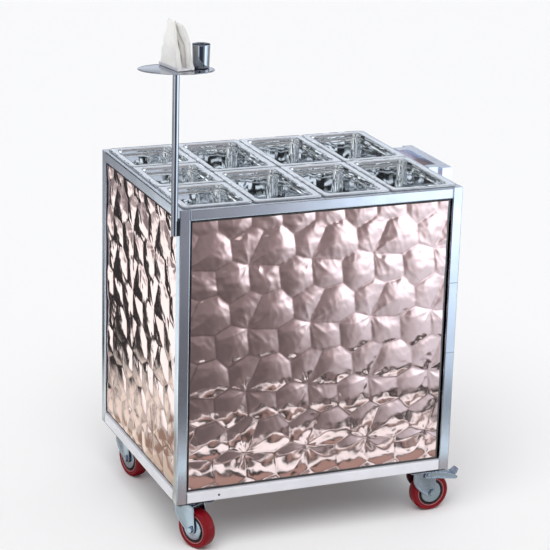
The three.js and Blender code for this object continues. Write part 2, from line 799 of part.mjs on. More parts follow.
for (const [corner, yaw] of Object.entries(yawDegrees)) {
  const sideX = corner.endsWith('left') ? -1 : 1;
  const sideY = corner.startsWith('front') ? -1 : 1;
  const braked = sideX > 0;
  const caster = new THREE.Group();
  caster.position.set(sideX * (right - casterInsetX), sideY * (back - casterInsetY), 0);
  trolley.add(caster);
  place(`caster_plate_${corner}`, casterPlate(), zincSteel, 0, 0, 0, caster);
  const swivel = new THREE.Group();
  swivel.rotation.z = THREE.MathUtils.degToRad(yaw);
  caster.add(swivel);
  place(`caster_fork_${corner}`, casterFork(braked), zincSteel, 0, 0, 0, swivel);
  place(`caster_axle_${corner}`, casterAxle(), zincSteel, casterTrail, 0, axleHeight, swivel);
  place(`caster_core_${corner}`, wheelCore(), blackCore, casterTrail, 0, axleHeight, swivel);
  place(`caster_tyre_${corner}`, wheelTyre(), redTyre, casterTrail, 0, axleHeight, swivel);
  if (braked) place(`brake_pedal_${corner}`, brakePedal(), zincSteel, pedalPinX, 0, pedalPinHeight, swivel);
}

// The origin is on the floor, under the middle of the whole trolley's box
trolley.updateMatrixWorld(true);
const bounds = new THREE.Box3().setFromObject(trolley, true);
const centre = bounds.getCenter(new THREE.Vector3());
trolley.position.set(-centre.x, -centre.y, -bounds.min.z);
trolley.updateMatrixWorld(true);

export default trolley;
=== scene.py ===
# %% [markdown]
# # Snack trolley: looks
#
# A stainless-steel trolley for snacks. A welded square-tube frame rolls on four
# swivelling casters with red tyres. Embossed mirror sheet with a rose coating closes its
# sides, nine food pans hang in its top, and a thin pole carries an oval tray with folded
# napkins and a small cup. The CAD model gives every place and size here, in metres.

# %% The frame from the CAD model
import math

import bmesh
import bpy
import numpy as np
from mathutils import Matrix, Vector, noise


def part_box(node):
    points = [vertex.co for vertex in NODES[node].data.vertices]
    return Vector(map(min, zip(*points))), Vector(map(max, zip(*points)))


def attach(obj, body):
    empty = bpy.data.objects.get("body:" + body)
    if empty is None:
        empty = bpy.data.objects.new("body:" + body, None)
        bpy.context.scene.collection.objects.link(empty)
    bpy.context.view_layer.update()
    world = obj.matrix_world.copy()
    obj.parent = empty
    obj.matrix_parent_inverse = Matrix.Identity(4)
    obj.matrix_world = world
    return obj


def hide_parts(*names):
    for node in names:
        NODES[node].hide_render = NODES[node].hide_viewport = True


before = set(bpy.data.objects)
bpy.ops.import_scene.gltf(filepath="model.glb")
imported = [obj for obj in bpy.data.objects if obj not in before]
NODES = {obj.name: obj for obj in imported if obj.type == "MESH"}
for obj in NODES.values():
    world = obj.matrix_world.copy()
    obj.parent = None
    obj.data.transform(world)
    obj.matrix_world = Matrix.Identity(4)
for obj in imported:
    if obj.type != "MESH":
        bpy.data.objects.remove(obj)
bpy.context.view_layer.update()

MM = 0.001

# %% [markdown]
# ## Helpers
#
# Tube, sheet and turned parts could each be modelled by hand or with modifiers. Nearly all
# of them are one profile carried along or round something, so a lathe, a skin over rings
# and a grid cover them, and every size stays a number that can be read.

# %% A finished piece from vertices and faces
SHARP = math.radians(32)
IN_PLACE = Matrix.Identity(4)


def piece(name, shell, material, body, instead_of=None, sharp=SHARP, at=IN_PLACE):
    """A smooth-shaded closed mesh that rides on a body of the trolley."""
    verts, faces = shell
    mesh = bpy.data.meshes.new(name)
    mesh.from_pydata([tuple(at @ Vector(v)) for v in verts], [], faces)
    mesh.validate()
    solid = bmesh.new()
    solid.from_mesh(mesh)
    bmesh.ops.recalc_face_normals(solid, faces=solid.faces)
    solid.to_mesh(mesh)
    solid.free()
    mesh.shade_smooth()
    mesh.set_sharp_from_angle(angle=sharp)
    mesh.materials.append(material)
    obj = bpy.data.objects.new(name, mesh)
    bpy.context.scene.collection.objects.link(obj)
    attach(obj, body)
    if instead_of:
        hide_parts(instead_of)
    return obj


def middle_of(node):
    low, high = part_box(node)
    return Vector((a + b) / 2 for a, b in zip(low, high))


print("middle of the tray:", [round(v, 3) for v in middle_of("oval_tray")])


# %% Mesh builders
def loft(rings, close_ends=True, joined=False):
    """Vertices and faces of a skin over rings with equal numbers of points."""
    count, rows = len(rings[0]), len(rings)
    verts = [p for ring in rings for p in ring]
    faces = []
    for row in range(rows if joined else rows - 1):
        below, above = row * count, (row + 1) % rows * count
        for i in range(count):
            j = (i + 1) % count
            faces.append((below + i, below + j, above + j, above + i))
    if close_ends and not joined:
        faces.append(tuple(range(count)))
        faces.append(tuple((rows - 1) * count + i for i in range(count)))
    return verts, faces


def turned(profile, steps, place=IN_PLACE, joined=False):
    """Turns (radius, height) points in millimetres about Z; joined closes the profile."""
    rings = []
    for r, z in profile:
        angles = [2 * math.pi * i / steps for i in range(steps)]
        rings.append([place @ Vector((r * MM * math.cos(a), r * MM * math.sin(a), z * MM)) for a in angles])
    return loft(rings, close_ends=not joined, joined=joined)


def rounded_ring(half_x, half_y, radius, z, steps=7):
    """A rounded rectangle at one height."""
    ring = []
    for sx, sy, start in ((1, -1, -0.5), (1, 1, 0), (-1, 1, 0.5), (-1, -1, 1)):
        for step in range(steps + 1):
            a = math.pi * (start + step / steps / 2)
            ring.append((sx * (half_x - radius) + radius * math.cos(a),
                         sy * (half_y - radius) + radius * math.sin(a), z))
    return ring


def merged(parts):
    """One list of vertices and one of faces from several closed shells."""
    verts, faces = [], []
    for some_verts, some_faces in parts:
        start = len(verts)
        verts += some_verts
        faces += [tuple(start + i for i in face) for face in some_faces]
    return verts, faces


print("one turned ring of 8:", len(turned([(1, 0), (1, 1)], 8)[0]), "points")


# %% Grids for sheet
def grid_faces(columns, rows, start=0):
    up, along = 1, rows + 1
    corners = [start + i * along + j for i in range(columns) for j in range(rows)]
    return [(k, k + along, k + along + up, k + up) for k in corners]


def grid_rim(columns, rows):
    """Numbers of the points round a grid, in turn."""
    stride = rows + 1
    return ([i * stride for i in range(columns)] + [columns * stride + j for j in range(rows)]
            + [i * stride + rows for i in range(columns, 0, -1)] + list(range(rows, 0, -1)))


def band(first, second):
    """Faces between two closed loops of point numbers."""
    count = len(first)
    return [(first[k], second[k], second[(k + 1) % count], first[(k + 1) % count]) for k in range(count)]


def ruffle(x, y, z):
    """Smooth noise at a place, from about -1 to 1."""
    return noise.noise(Vector((x, y, z)))


print("faces of a grid of 3 by 2:", len(grid_faces(3, 2)), "and points round it:", len(grid_rim(3, 2)))

# %% [markdown]
# ## Finishes
#
# Everything is metal but the tyres, wheel cores and napkins. Real sheet is never even:
# it has a brushed or rolled grain, cloudy gloss and a little soil. Each effect could be
# painted, but as a node group it is built once, and each metal gives it its own values.

# %% Node helpers
COLOUR, VECTOR, FLOAT = "NodeSocketColor", "NodeSocketVector", "NodeSocketFloat"
BLACK = (0.0, 0.0, 0.0)


def new_group(name, inputs, outputs):
    """A node group, the sockets that it is given, and the node that takes its results."""
    group = bpy.data.node_groups.new(name, "ShaderNodeTree")
    for label, kind, value in inputs:
        socket = group.interface.new_socket(label, in_out="INPUT", socket_type=kind)
        socket.default_value = value
    for label, kind in outputs:
        group.interface.new_socket(label, in_out="OUTPUT", socket_type=kind)
    return group, group.nodes.new("NodeGroupInput").outputs, group.nodes.new("NodeGroupOutput")


def fill(tree, node, settings):
    """Sets a node's inputs: a socket is linked, anything else is a value."""
    for key, value in settings.items():
        if isinstance(value, bpy.types.NodeSocket):
            tree.links.new(value, node.inputs[key])
        else:
            node.inputs[key].default_value = value
    return node


def add(tree, kind, **settings):
    """A new node with its properties and inputs set."""
    node = tree.nodes.new(kind)
    for key in [key for key in settings if key in node.bl_rna.properties]:
        setattr(node, key, settings.pop(key))
    return fill(tree, node, settings)


def maths(tree, operation, *terms):
    node = add(tree, "ShaderNodeMath", operation=operation)
    return fill(tree, node, dict(enumerate(terms))).outputs[0]


def stretched(tree, vector, by):
    node = add(tree, "ShaderNodeVectorMath", operation="MULTIPLY")
    return fill(tree, node, {0: vector, 1: by}).outputs[0]


def noise_at(tree, place, **settings):
    return add(tree, "ShaderNodeTexNoise", Vector=place, **settings).outputs["Fac"]


def mapped(tree, value, low, high, to_low=0.0, to_high=1.0, kind="LINEAR"):
    """A value carried from one range to another and held inside it."""
    node = add(tree, "ShaderNodeMapRange", interpolation_type=kind, Value=value)
    return fill(tree, node, {"From Min": low, "From Max": high, "To Min": to_low, "To Max": to_high}).outputs[0]


def eased(tree, value, low, high, to_low=0.0, to_high=1.0):
    return mapped(tree, value, low, high, to_low, to_high, "SMOOTHSTEP")


def mixed(tree, share, first, second):
    """A blend of two colours, each given as three numbers or as a socket."""
    first, second = ((*colour, 1) if isinstance(colour, tuple) else colour for colour in (first, second))
    return add(tree, "ShaderNodeMix", data_type="RGBA", Factor=share, A=first, B=second).outputs["Result"]


def ramp(tree, source, stops):
    node = add(tree, "ShaderNodeValToRGB", Fac=source)
    elements = node.color_ramp.elements
    while len(elements) < len(stops):
        elements.new(0.5)
    for element, (place, colour) in zip(elements, stops):
        element.position = place
        element.color = (*colour, 1)
    return node.outputs["Color"]


def new_material(name):
    material = bpy.data.materials.new(name)
    material.use_nodes = True
    return material, material.node_tree, material.node_tree.nodes["Principled BSDF"]


# %% Worked metal: brushing, cloudy gloss, soil and slow waves
def metal_group():
    group, given, out = new_group(
        "worked_metal",
        [("Colour", COLOUR, (0.6, 0.6, 0.6, 1)), ("Dirt", COLOUR, (0.3, 0.3, 0.3, 1)), ("Grain", VECTOR, (1, 1, 1)),
         ("Roughness", FLOAT, 0.2), ("Spread", FLOAT, 0.1)],
        [("Colour", COLOUR), ("Roughness", FLOAT), ("Height", FLOAT), ("Waves", FLOAT)])
    place = add(group, "ShaderNodeTexCoord").outputs["Object"]
    brushed = noise_at(group, stretched(group, place, given["Grain"]), Scale=420, Detail=3, Roughness=0.6)
    cloudy = noise_at(group, place, Scale=9, Detail=4, Roughness=0.55)
    specks = add(group, "ShaderNodeTexVoronoi", Vector=place, Scale=160).outputs["Distance"]
    spots = mapped(group, specks, 0.02, 0.09, 1, 0)
    smear = mapped(group, cloudy, 0.42, 0.78, 0, 0.45)
    soil = maths(group, "MULTIPLY_ADD", spots, 0.12, smear)
    centred = maths(group, "SUBTRACT", maths(group, "ADD", brushed, cloudy), 1.0)
    fill(group, out, {
        "Colour": mixed(group, soil, given["Colour"], given["Dirt"]),
        "Roughness": maths(group, "MULTIPLY_ADD", centred, given["Spread"], given["Roughness"]),
        "Height": brushed,
        "Waves": noise_at(group, stretched(group, place, (1, 1, 0.35)), Scale=24, Detail=1)})
    return group


METAL = metal_group()
print("group:", METAL.name, "of", len(METAL.nodes), "nodes")


def metal(name, colour, dirt, roughness, spread, grain=(1, 1, 1), bump=0.02, depth=0.00005, wavy=0.0, metallic=1.0):
    """A metal whose gloss, soil and brushing come from the shared group."""
    material, tree, shader = new_material(name)
    worked = add(tree, "ShaderNodeGroup", node_tree=METAL, Colour=(*colour, 1), Dirt=(*dirt, 1), Grain=grain,
                 Roughness=roughness, Spread=spread).outputs
    relief = add(tree, "ShaderNodeBump", Strength=bump, Distance=depth, Height=worked["Height"])
    if wavy:
        bent = add(tree, "ShaderNodeBump", Strength=1.0, Distance=wavy, Height=worked["Waves"])
        fill(tree, relief, {"Normal": bent.outputs["Normal"]})
    fill(tree, shader, {"Metallic": metallic, "Base Color": worked["Colour"], "Roughness": worked["Roughness"],
                        "Normal": relief.outputs["Normal"]})
    return material


# %% The metals: colour, soil, roughness and its spread
ROSE = metal("rose_mirror_sheet", (0.83, 0.60, 0.57), (0.62, 0.42, 0.38), 0.09, 0.05)
FRAME_STEEL = metal("frame_steel_brushed", (0.68, 0.71, 0.79), (0.42, 0.45, 0.52), 0.2, 0.12, bump=0.1)
PAN_STEEL = metal("pan_steel_polished", (0.78, 0.80, 0.83), (0.50, 0.52, 0.54), 0.04, 0.04, wavy=0.0016)
MIRROR_STEEL = metal("tray_steel_polished", (0.50, 0.52, 0.57), (0.34, 0.36, 0.40), 0.07, 0.05)
DECK_STEEL = metal("deck_steel", (0.5, 0.51, 0.53), (0.3, 0.3, 0.31), 0.35, 0.12)
ZINC = metal("caster_zinc", (0.47, 0.56, 0.69), (0.13, 0.15, 0.18), 0.26, 0.22, bump=0.2, depth=0.0001, wavy=0.0012)
DOOR_STEEL = metal("door_inner_steel", (0.44, 0.44, 0.46), (0.27, 0.27, 0.28), 0.38, 0.18, (1, 1, 0.05), bump=0.15)
# Near black: on the caster plates and the pole bracket this is painted shade of the dark under the frame and beside
# the post; the drain plug shares it
PLATE_STEEL = metal("caster_plate_steel", (0.06, 0.065, 0.07), (0.02, 0.02, 0.022), 0.4, 0.15, bump=0.2)
# Whiter and partly dielectric: a satin finish, and painted sheen of the bright floor that the bottom rails and the
# holder's lip reflect
RAIL_SATIN_SHEEN = metal("bottom_rail_satin_and_sheen", (0.90, 0.90, 0.96), (0.60, 0.61, 0.66), 0.5, 0.15, bump=0.15, metallic=0.3)
WELD = metal("ground_weld", (0.50, 0.51, 0.56), (0.26, 0.26, 0.30), 0.34, 0.2, bump=0.3, depth=0.0001)
# Near-black back sheet of the fixed panels: painted shade in the gap round the skins, besides the real recess
SHADE_GAP_STEEL = metal("panel_back_painted_shade", (0.20, 0.19, 0.19), (0.08, 0.08, 0.08), 0.4, 0.15)
print("metals:", len(bpy.data.materials))


# %% Moulded surface: mottled colour, uneven gloss and a fine grain
def moulded_group():
    group, given, out = new_group(
        "moulded_surface",
        [("Colour", COLOUR, (0.1, 0.1, 0.1, 1)), ("Worn", COLOUR, (0.2, 0.2, 0.2, 1)), ("Roughness", FLOAT, 0.4),
         ("Grain", FLOAT, 220)],
        [("Colour", COLOUR), ("Roughness", FLOAT), ("Height", FLOAT)])
    place = add(group, "ShaderNodeTexCoord").outputs["Object"]
    blotches = noise_at(group, place, Scale=45, Detail=5, Roughness=0.6)
    fine = noise_at(group, place, Scale=given["Grain"], Detail=4, Roughness=0.7)
    fill(group, out, {
        "Colour": mixed(group, mapped(group, blotches, 0.4, 0.75, 0, 0.6), given["Colour"], given["Worn"]),
        "Roughness": maths(group, "ADD", given["Roughness"], mapped(group, fine, 0.3, 0.7, -0.08, 0.08)),
        "Height": fine})
    return group


MOULDED = moulded_group()
print("group:", MOULDED.name, "of", len(MOULDED.nodes), "nodes")


def moulded(name, colour, worn, roughness, coat, grain=220, bump=0.15, specular=0.5):
    """Plastic, rubber or paper."""
    material, tree, shader = new_material(name)
    surface = add(tree, "ShaderNodeGroup", node_tree=MOULDED, Colour=(*colour, 1), Worn=(*worn, 1),
                  Roughness=roughness, Grain=grain).outputs
    relief = add(tree, "ShaderNodeBump", Strength=bump, Distance=0.0003, Height=surface["Height"])
    fill(tree, shader, {"Base Color": surface["Colour"], "Roughness": surface["Roughness"], "Coat Weight": coat,
                        "Specular IOR Level": specular, "Normal": relief.outputs["Normal"]})
    return material


TYRE_RED = moulded("tyre_red", (0.215, 0.003, 0.009), (0.12, 0.003, 0.008), 0.36, 0.1, specular=0.2)
# A lighter pink copy of the tyre's red for the bead ring: painted highlight where the tyre meets the core
TYRE_BEAD_GLINT = moulded("tyre_bead_glint", (0.42, 0.16, 0.18), (0.30, 0.08, 0.10), 0.4, 0.2)
CORE_BLACK = moulded("core_black", (0.012, 0.012, 0.014), (0.03, 0.03, 0.032), 0.45, 0.1)
PAPER = moulded("napkin_paper", (0.95, 0.945, 0.93), (0.88, 0.86, 0.81), 0.9, 0.0, grain=500, bump=0.3)

# %% Painted shade in creases, with polish residue held in the rose sheet's grooves
CREASE_SHADE_SHARE = 0.55


def crease_shade_group():
    group, given, out = new_group(
        "crease_residue_and_painted_shade",
        [("Colour", COLOUR, (0.8, 0.8, 0.8, 1)), ("Dark", COLOUR, (0.3, 0.3, 0.3, 1)), ("Mark", FLOAT, 0.0)],
        [("Colour", COLOUR)])
    share = maths(group, "MULTIPLY", given["Mark"], CREASE_SHADE_SHARE)
    fill(group, out, {"Colour": mixed(group, share, given["Colour"], given["Dark"])})
    return group


CREASE_SHADING = crease_shade_group()


def shade_creases(material, dark):
    """Darkens a sheet where its mesh marks creases: painted shade, and residue in the rose sheet's grooves."""
    tree = material.node_tree
    shader = tree.nodes["Principled BSDF"]
    shade_mark = add(tree, "ShaderNodeAttribute", attribute_name="crease_shade").outputs["Fac"]
    under = shader.inputs["Base Color"].links[0].from_socket
    lines = add(tree, "ShaderNodeGroup", node_tree=CREASE_SHADING, Colour=under, Dark=(*dark, 1), Mark=shade_mark)
    fill(tree, shader, {"Base Color": lines.outputs["Colour"]})


def mark_crease_shade(obj, shade_per_point):
    obj.data.attributes.new("crease_shade", "FLOAT", "POINT").data.foreach_set("value", shade_per_point)


# Painted shade in creases: in the rose sheet's grooves it is mixed with polish residue, in the napkins' folds it is
# only shade
shade_creases(ROSE, (0.36, 0.22, 0.21))
shade_creases(PAPER, (0.34, 0.30, 0.24))
print("finishes:", len(bpy.data.materials), "from", len(bpy.data.node_groups), "groups")

# %% [markdown]
# ## Embossed sheet
#
# The rose sheet is rolled between patterned rollers, so its pattern repeats every 150 mm
# both ways. Four pillows make one repeat. Grooves part them and meet in a star, like the
# buttons of upholstery. A cell texture would give flat or evenly round cells. A film that
# is pinned in the grooves and blown up between them has the real shape, so the height is
# solved as one, and folds that run out from the stars and a few ripples are laid over it.

# %% The film over one repeat of the grooves
REPEAT = np.array([150.0, 148.7])
# Where the grooves meet: place from the star in millimetres, and level as a share of the relief
CORNERS = {"star": (0, 0, 0.0), "p1": (72.2, -7.5, 0.3), "p2": (78.2, -62.9, 0.22), "p3": (5.8, -59.6, 0.38),
           "p4": (33.6, -72.5, 0.25), "q1": (-44.8, -88.0, 0.15), "q4": (-38.4, 12.7, 0.35)}
# Each groove: its two ends, and how many repeats across and up the second one lies
GROOVES = [("star", "p1", 0, 0), ("p1", "p2", 0, 0), ("p2", "p4", 0, 0), ("p4", "p3", 0, 0), ("p3", "star", 0, 0),
           ("p3", "q1", 0, 0), ("q1", "p2", -1, 0), ("p1", "q4", 1, 0), ("q4", "star", 0, 0),
           ("q4", "q1", 0, 1), ("star", "p4", 0, 1)]
FILM_STEPS, FILM_ROUNDS, SMOOTHING_ROUNDS = 120, 4000, 2
FILM_START, FILM_SWELL = 0.6, 0.0011
GROOVE_HALF, GROOVE_ARCH = 0.9, 0.12


def solve_film():
    """Height of one repeat, from 0 to 1, and the distance to its grooves, on a square grid."""
    u, v = np.meshgrid(*(np.arange(FILM_STEPS) / FILM_STEPS * size for size in REPEAT), indexing="ij")
    nearest = np.full(u.shape, 1e9)
    pinned = np.zeros(u.shape)
    for start, end, du, dv in GROOVES:
        for shift in np.ndindex(4, 4):
            offset = REPEAT * (np.array(shift) - 1)
            p = np.array(CORNERS[start][:2]) + offset
            q = np.array(CORNERS[end][:2]) + REPEAT * (du, dv) + offset
            along = ((u - p[0]) * (q - p)[0] + (v - p[1]) * (q - p)[1]) / ((q - p) @ (q - p))
            along = np.clip(along, 0, 1)
            away = np.hypot(u - p[0] - along * (q - p)[0], v - p[1] - along * (q - p)[1])
            level = CORNERS[start][2] * (1 - along) + CORNERS[end][2] * along
            pinned = np.where(away < nearest, level + GROOVE_ARCH * np.sin(np.pi * along), pinned)
            nearest = np.minimum(nearest, away)
    fixed = nearest < GROOVE_HALF
    film = np.where(fixed, pinned, FILM_START)
    around = lambda f: np.roll(f, 1, 0) + np.roll(f, -1, 0) + np.roll(f, 1, 1) + np.roll(f, -1, 1)
    for _ in range(FILM_ROUNDS):
        film = np.where(fixed, pinned, around(film) / 4 + FILM_SWELL)
    for _ in range(SMOOTHING_ROUNDS):
        film = (film * 4 + around(film)) / 8
    return (film - film.min()) / (film.max() - film.min()), nearest


FILM, GROOVE_AWAY = solve_film()
print("film: mean height", round(float(FILM.mean()), 3))


# %% Reading the film anywhere on a sheet
def sampled(repeat, u, v):
    """A map of one repeat at places given in millimetres, repeated without end."""
    x, y = (np.mod(place / size, 1) * FILM_STEPS for place, size in zip((u, v), REPEAT))
    i, j = np.floor(x).astype(int), np.floor(y).astype(int)
    s, t = x - i, y - j
    at = lambda a, b: repeat[a % FILM_STEPS, b % FILM_STEPS]
    return ((1 - s) * (1 - t) * at(i, j) + s * (1 - t) * at(i + 1, j)
            + (1 - s) * t * at(i, j + 1) + s * t * at(i + 1, j + 1))


print("film half a repeat from a star:", round(float(sampled(FILM, *REPEAT / 2)), 2))


# %% Folds that run out from the stars
FOLDS, FOLD_REACH = 0.38, 24
FOLD_TURNS, FOLD_SWAY, FOLD_START = 4.5, 0.7, 0.4


def star_folds(u, v):
    """Creases that run out from each star and fade with distance, in millimetres."""
    x, y = ((place + size / 2) % size - size / 2 for place, size in zip((u, v), REPEAT))
    away = np.hypot(x, y)
    turn = np.arctan2(y, x)
    crease = 1 - np.abs(np.sin(FOLD_TURNS * turn + FOLD_SWAY * np.sin(turn) + FOLD_START))
    return FOLDS * crease * (away / FOLD_REACH) * np.exp(1 - away / FOLD_REACH)


print("deepest fold, mm:", round(float(star_folds(*np.mgrid[-40:40, -40:40]).max()), 2))

# %% An embossed skin
SKIN_PITCH, SKIN_BACK, SKIN_LOW, SKIN_RELIEF = 2.5, 0.2, 0.6, 3.4
SKIN_THINNEST = 0.1
# How far a groove's painted shade and polish residue reach, in millimetres
GROOVE_SHADE_REACH = 1.6
# Ripples: height, share of it at the foot, sizes of the dents and of the ridges, and the ridges' lean
RIPPLE, RIPPLE_AT_FOOT, DENT, RIDGE, RIDGE_LEAN = 0.5, 0.25, (26, 15), (17, 26), 0.4
SKIN_SHARP = math.radians(50)
# Border of painted shade between the skin and the frame, where the near-black back sheet shows: at its start, its end,
# below and above
MARGINS = (1.5, 5.0, 3.5, 1.5)


def rippled(a, b, seed):
    """Slow dents with ridges between them, at a place in millimetres."""
    return ruffle(a / DENT[0], b / DENT[1], seed) - abs(ruffle((a + RIDGE_LEAN * b) / RIDGE[0], b / RIDGE[1], 7))


def embossed(name, corner, across, outward, width, height, phase, body):
    """A closed embossed skin whose back lies SKIN_BACK off the plain sheet behind it."""
    start, end, low, high = MARGINS
    across, outward, up = Vector(across), Vector(outward), Vector((0, 0, 1))
    corner = Vector(corner) + (across * start + up * low) * MM
    width, height, phase = width - start - end, height - low - high, (phase[0] - start, phase[1] - low)
    columns, rows = round(width / SKIN_PITCH), round(height / SKIN_PITCH)
    u, v = np.meshgrid(np.linspace(0, width, columns + 1), np.linspace(0, height, rows + 1), indexing="ij")
    on_film = (u - phase[0], v - phase[1])
    ripples = np.array([[rippled(a, b, phase[0]) for b in v[0]] for a in u[:, 0]])
    crumpled = RIPPLE * ripples * (RIPPLE_AT_FOOT + (1 - RIPPLE_AT_FOOT) * v / height)
    lift = SKIN_LOW + SKIN_RELIEF * sampled(FILM, *on_film) + crumpled + star_folds(*on_film)
    lift = np.clip(lift, SKIN_BACK + SKIN_THINNEST, None).ravel()
    # Painted shade, with some polish residue, darkens the sheet near its grooves
    crease_shade = np.exp(-sampled(GROOVE_AWAY, *on_film) / GROOVE_SHADE_REACH).ravel()
    u, v = u.ravel(), v.ravel()
    rim = grid_rim(columns, rows)
    verts = [corner + (across * a + up * b + outward * c) * MM for a, b, c in zip(u, v, lift)]
    back = list(range(len(verts), len(verts) + len(rim)))
    verts += [corner + (across * u[k] + up * v[k] + outward * SKIN_BACK) * MM for k in rim]
    faces = grid_faces(columns, rows) + band(rim, back) + [tuple(back)]
    print(name, "quads", columns * rows, "relief mm", round(float(np.ptp(lift)), 2))
    made = piece(name + "_skin", (verts, faces), ROSE, body, sharp=SKIN_SHARP)
    mark_crease_shade(made, np.concatenate([crease_shade, np.zeros(len(rim))]))


# %% Skins on the fixed panels and the doors
STAR_ON_FRONT = (-7.8, 226.0)
DOOR_GAP = 4
SIDE_PHASES = {"left": (40, 0), "right": (96, -40)}
DOOR_PHASE = 20
post_low, rail_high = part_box("post_front_left")[0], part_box("top_rail_back")[1]
sheet_low, sheet_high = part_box("front_panel")
bottom, top = sheet_low[2], sheet_high[2]
reveal = bottom - post_low[2]
front_left, front_right = post_low[0] + reveal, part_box("post_front_right")[1][0] - reveal
side_front, side_back = post_low[1] + reveal, rail_high[1] - reveal
height = (top - bottom) / MM
front_width = (front_right - front_left) / MM
side_width = (side_back - side_front) / MM
phase = ((STAR_ON_FRONT[0] * MM - front_left) / MM, (STAR_ON_FRONT[1] * MM - bottom) / MM)
embossed("front", (front_left, sheet_low[1], bottom), (1, 0, 0), (0, -1, 0), front_width, height, phase, "cabinet")
for side, face, far_edge, way in (("left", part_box("left_panel")[0][0], side_back, -1),
                                  ("right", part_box("right_panel")[1][0], side_front, 1)):
    across, up = SIDE_PHASES[side]
    embossed(side, (face, far_edge, bottom), (0, way, 0), (way, 0, 0), side_width, height,
             (across, phase[1] + up), "cabinet")
door_width = (front_width - DOOR_GAP) / 2
door_edge = middle_of("top_rail_back")[0] - DOOR_GAP / 2 * MM
back_face = rail_high[1] - (sheet_low[1] - post_low[1])
for side, edge, across in (("right", front_right, DOOR_PHASE),
                           ("left", door_edge, DOOR_PHASE - door_width - DOOR_GAP)):
    embossed(f"door_{side}", (edge, back_face, bottom), (-1, 0, 0), (0, 1, 0), door_width, height,
             (across, phase[1]), f"{side}_door")

# %% [markdown]
# ## Food pans
#
# Catering pans are deep-drawn from one sheet: a flat flange with a rolled-down edge, a
# stacking shoulder under it, drafted walls and a rounded floor. A box with a solidified
# bevel would keep one corner radius. One profile lofted round a rounded rectangle lets the
# radius of the corners grow towards the floor, as drawing does.

# %% Nine drawn pans
PAN_PROFILE = [  # inset from the rim's edge, height, corner radius
    (1.0, -4.0, 7.0), (0.35, -4.05, 7.65), (0.0, -3.5, 8.0), (0.0, -1.3, 8.0), (0.4, -0.4, 7.6), (1.3, 0.0, 7.0),
    (2.6, 0.0, 6.6), (3.6, -0.35, 6.4), (4.6, -0.35, 6.4), (12.6, -0.35, 12.0), (14.4, -0.5, 13.5), (15.6, -1.4, 14.5),
    (16.1, -3.0, 15.0), (16.3, -12.0, 15.5), (16.7, -14.0, 15.8), (18.3, -15.0, 16.6), (18.8, -16.8, 17.0),
    (20.0, -90.0, 19.0), (20.8, -95.0, 20.5), (23.5, -98.2, 20.0), (28.0, -99.2, 17.0), (60.0, -98.6, 8.0)]
PAN_OUTER = [(60.0, -99.5, 8.0), (28.0, -100.0, 18.0), (22.6, -98.9, 20.0), (19.8, -95.4, 20.0), (19.0, -90.0, 18.6),
             (15.9, -16.0, 16.5), (15.1, -12.0, 16.0), (15.0, -1.35, 15.0), (1.0, -1.35, 7.0)]
PAN_SHARP = math.radians(60)


def pan(node):
    """A drawn pan that hangs where the CAD pan does."""
    low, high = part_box(node)
    rim = Vector(((low[0] + high[0]) / 2, (low[1] + high[1]) / 2, high[2]))
    half_x, half_y = (high[0] - low[0]) / 2, (high[1] - low[1]) / 2
    rings = [rounded_ring(half_x - inset * MM, half_y - inset * MM, radius * MM, z * MM)
             for inset, z, radius in PAN_OUTER + PAN_PROFILE]
    return piece(f"drawn_{node}", loft(rings), PAN_STEEL, node + "_body", node, PAN_SHARP,
                 Matrix.Translation(rim))


pans = [pan(node) for node in sorted(NODES) if "_pan_" in node]
print("pans:", len(pans))

# %% [markdown]
# ## The frame and the pieces that keep their CAD shape
#
# Square tube, flat sheet and folded plate are already exact in the CAD model, so remaking
# them would only add faults. They get their finish, and a small bevel, because the edge of
# a real tube is rounded and catches a line of light.

# %% Finishes and softened edges of CAD nodes
FINISHES = [
    (FRAME_STEEL, "post_ top_rail pan_bar push_handle"), (RAIL_SATIN_SHEEN, "bottom_rail napkin_holder"),
    (SHADE_GAP_STEEL, "front_panel left_panel right_panel"), (DOOR_STEEL, "door_"), (DECK_STEEL, "storage_deck"),
    (MIRROR_STEEL, "tray_pole oval_tray steel_cup"), (PLATE_STEEL, "pole_bracket caster_plate"),
    (ZINC, "caster_fork caster_axle brake_pedal"), (CORE_BLACK, "caster_core"), (TYRE_RED, "caster_tyre"),
    (PAPER, "napkins"), (PAN_STEEL, "small_pan long_pan")]
FINISH = {start: material for material, starts in FINISHES for start in starts.split()}
SOFTENED = {"post_": 0.7, "top_rail": 0.7, "bottom_rail": 0.7, "push_handle": 1.2, "caster_fork": 0.5,
            "brake_pedal": 0.5, "pole_bracket": 0.4, "napkin_holder": 0.3}
BEVEL_FROM = math.radians(30)


def by_start(table, name):
    return next((value for start, value in table.items() if name.startswith(start)), None)


for name, obj in NODES.items():
    for held in obj.material_slots:
        held.material = by_start(FINISH, name)
    width = by_start(SOFTENED, name)
    if width:
        bevel = obj.modifiers.new("edge", "BEVEL")
        bevel.width = width * MM
        bevel.segments = 2
        bevel.limit_method = "ANGLE"
        bevel.angle_limit = BEVEL_FROM
        bevel.harden_normals = True
print("finished nodes:", len(NODES))

# %% [markdown]
# ## Pole, tray and cup
#
# The tray is a pressed oval plate with a small rolled edge, the cup is spun from thin
# sheet, and the pole is drawn tube. Polished round metal shows every flat of a coarse
# mesh as a stripe, so all three are skinned again over fine profiles, wall and all.

# %% Oval tray
TRAY_TURN = math.radians(-19)
TRAY_HALF, TRAY_STEPS = (82, 53), 72
TRAY_MIDDLE_INSET = 48
TRAY_PROFILE = [(60, 0.0), (2.0, 0.0), (0.7, 0.25), (0.0, 0.8), (0.0, 1.3), (0.5, 1.85), (1.2, 2.0), (2.2, 1.85),
                (3.4, 1.55), (6.0, 1.5), (60, 1.5)]


def foot_of(node):
    """The middle of a node's box, on its lowest level."""
    foot = middle_of(node)
    foot.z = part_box(node)[0][2]
    return foot


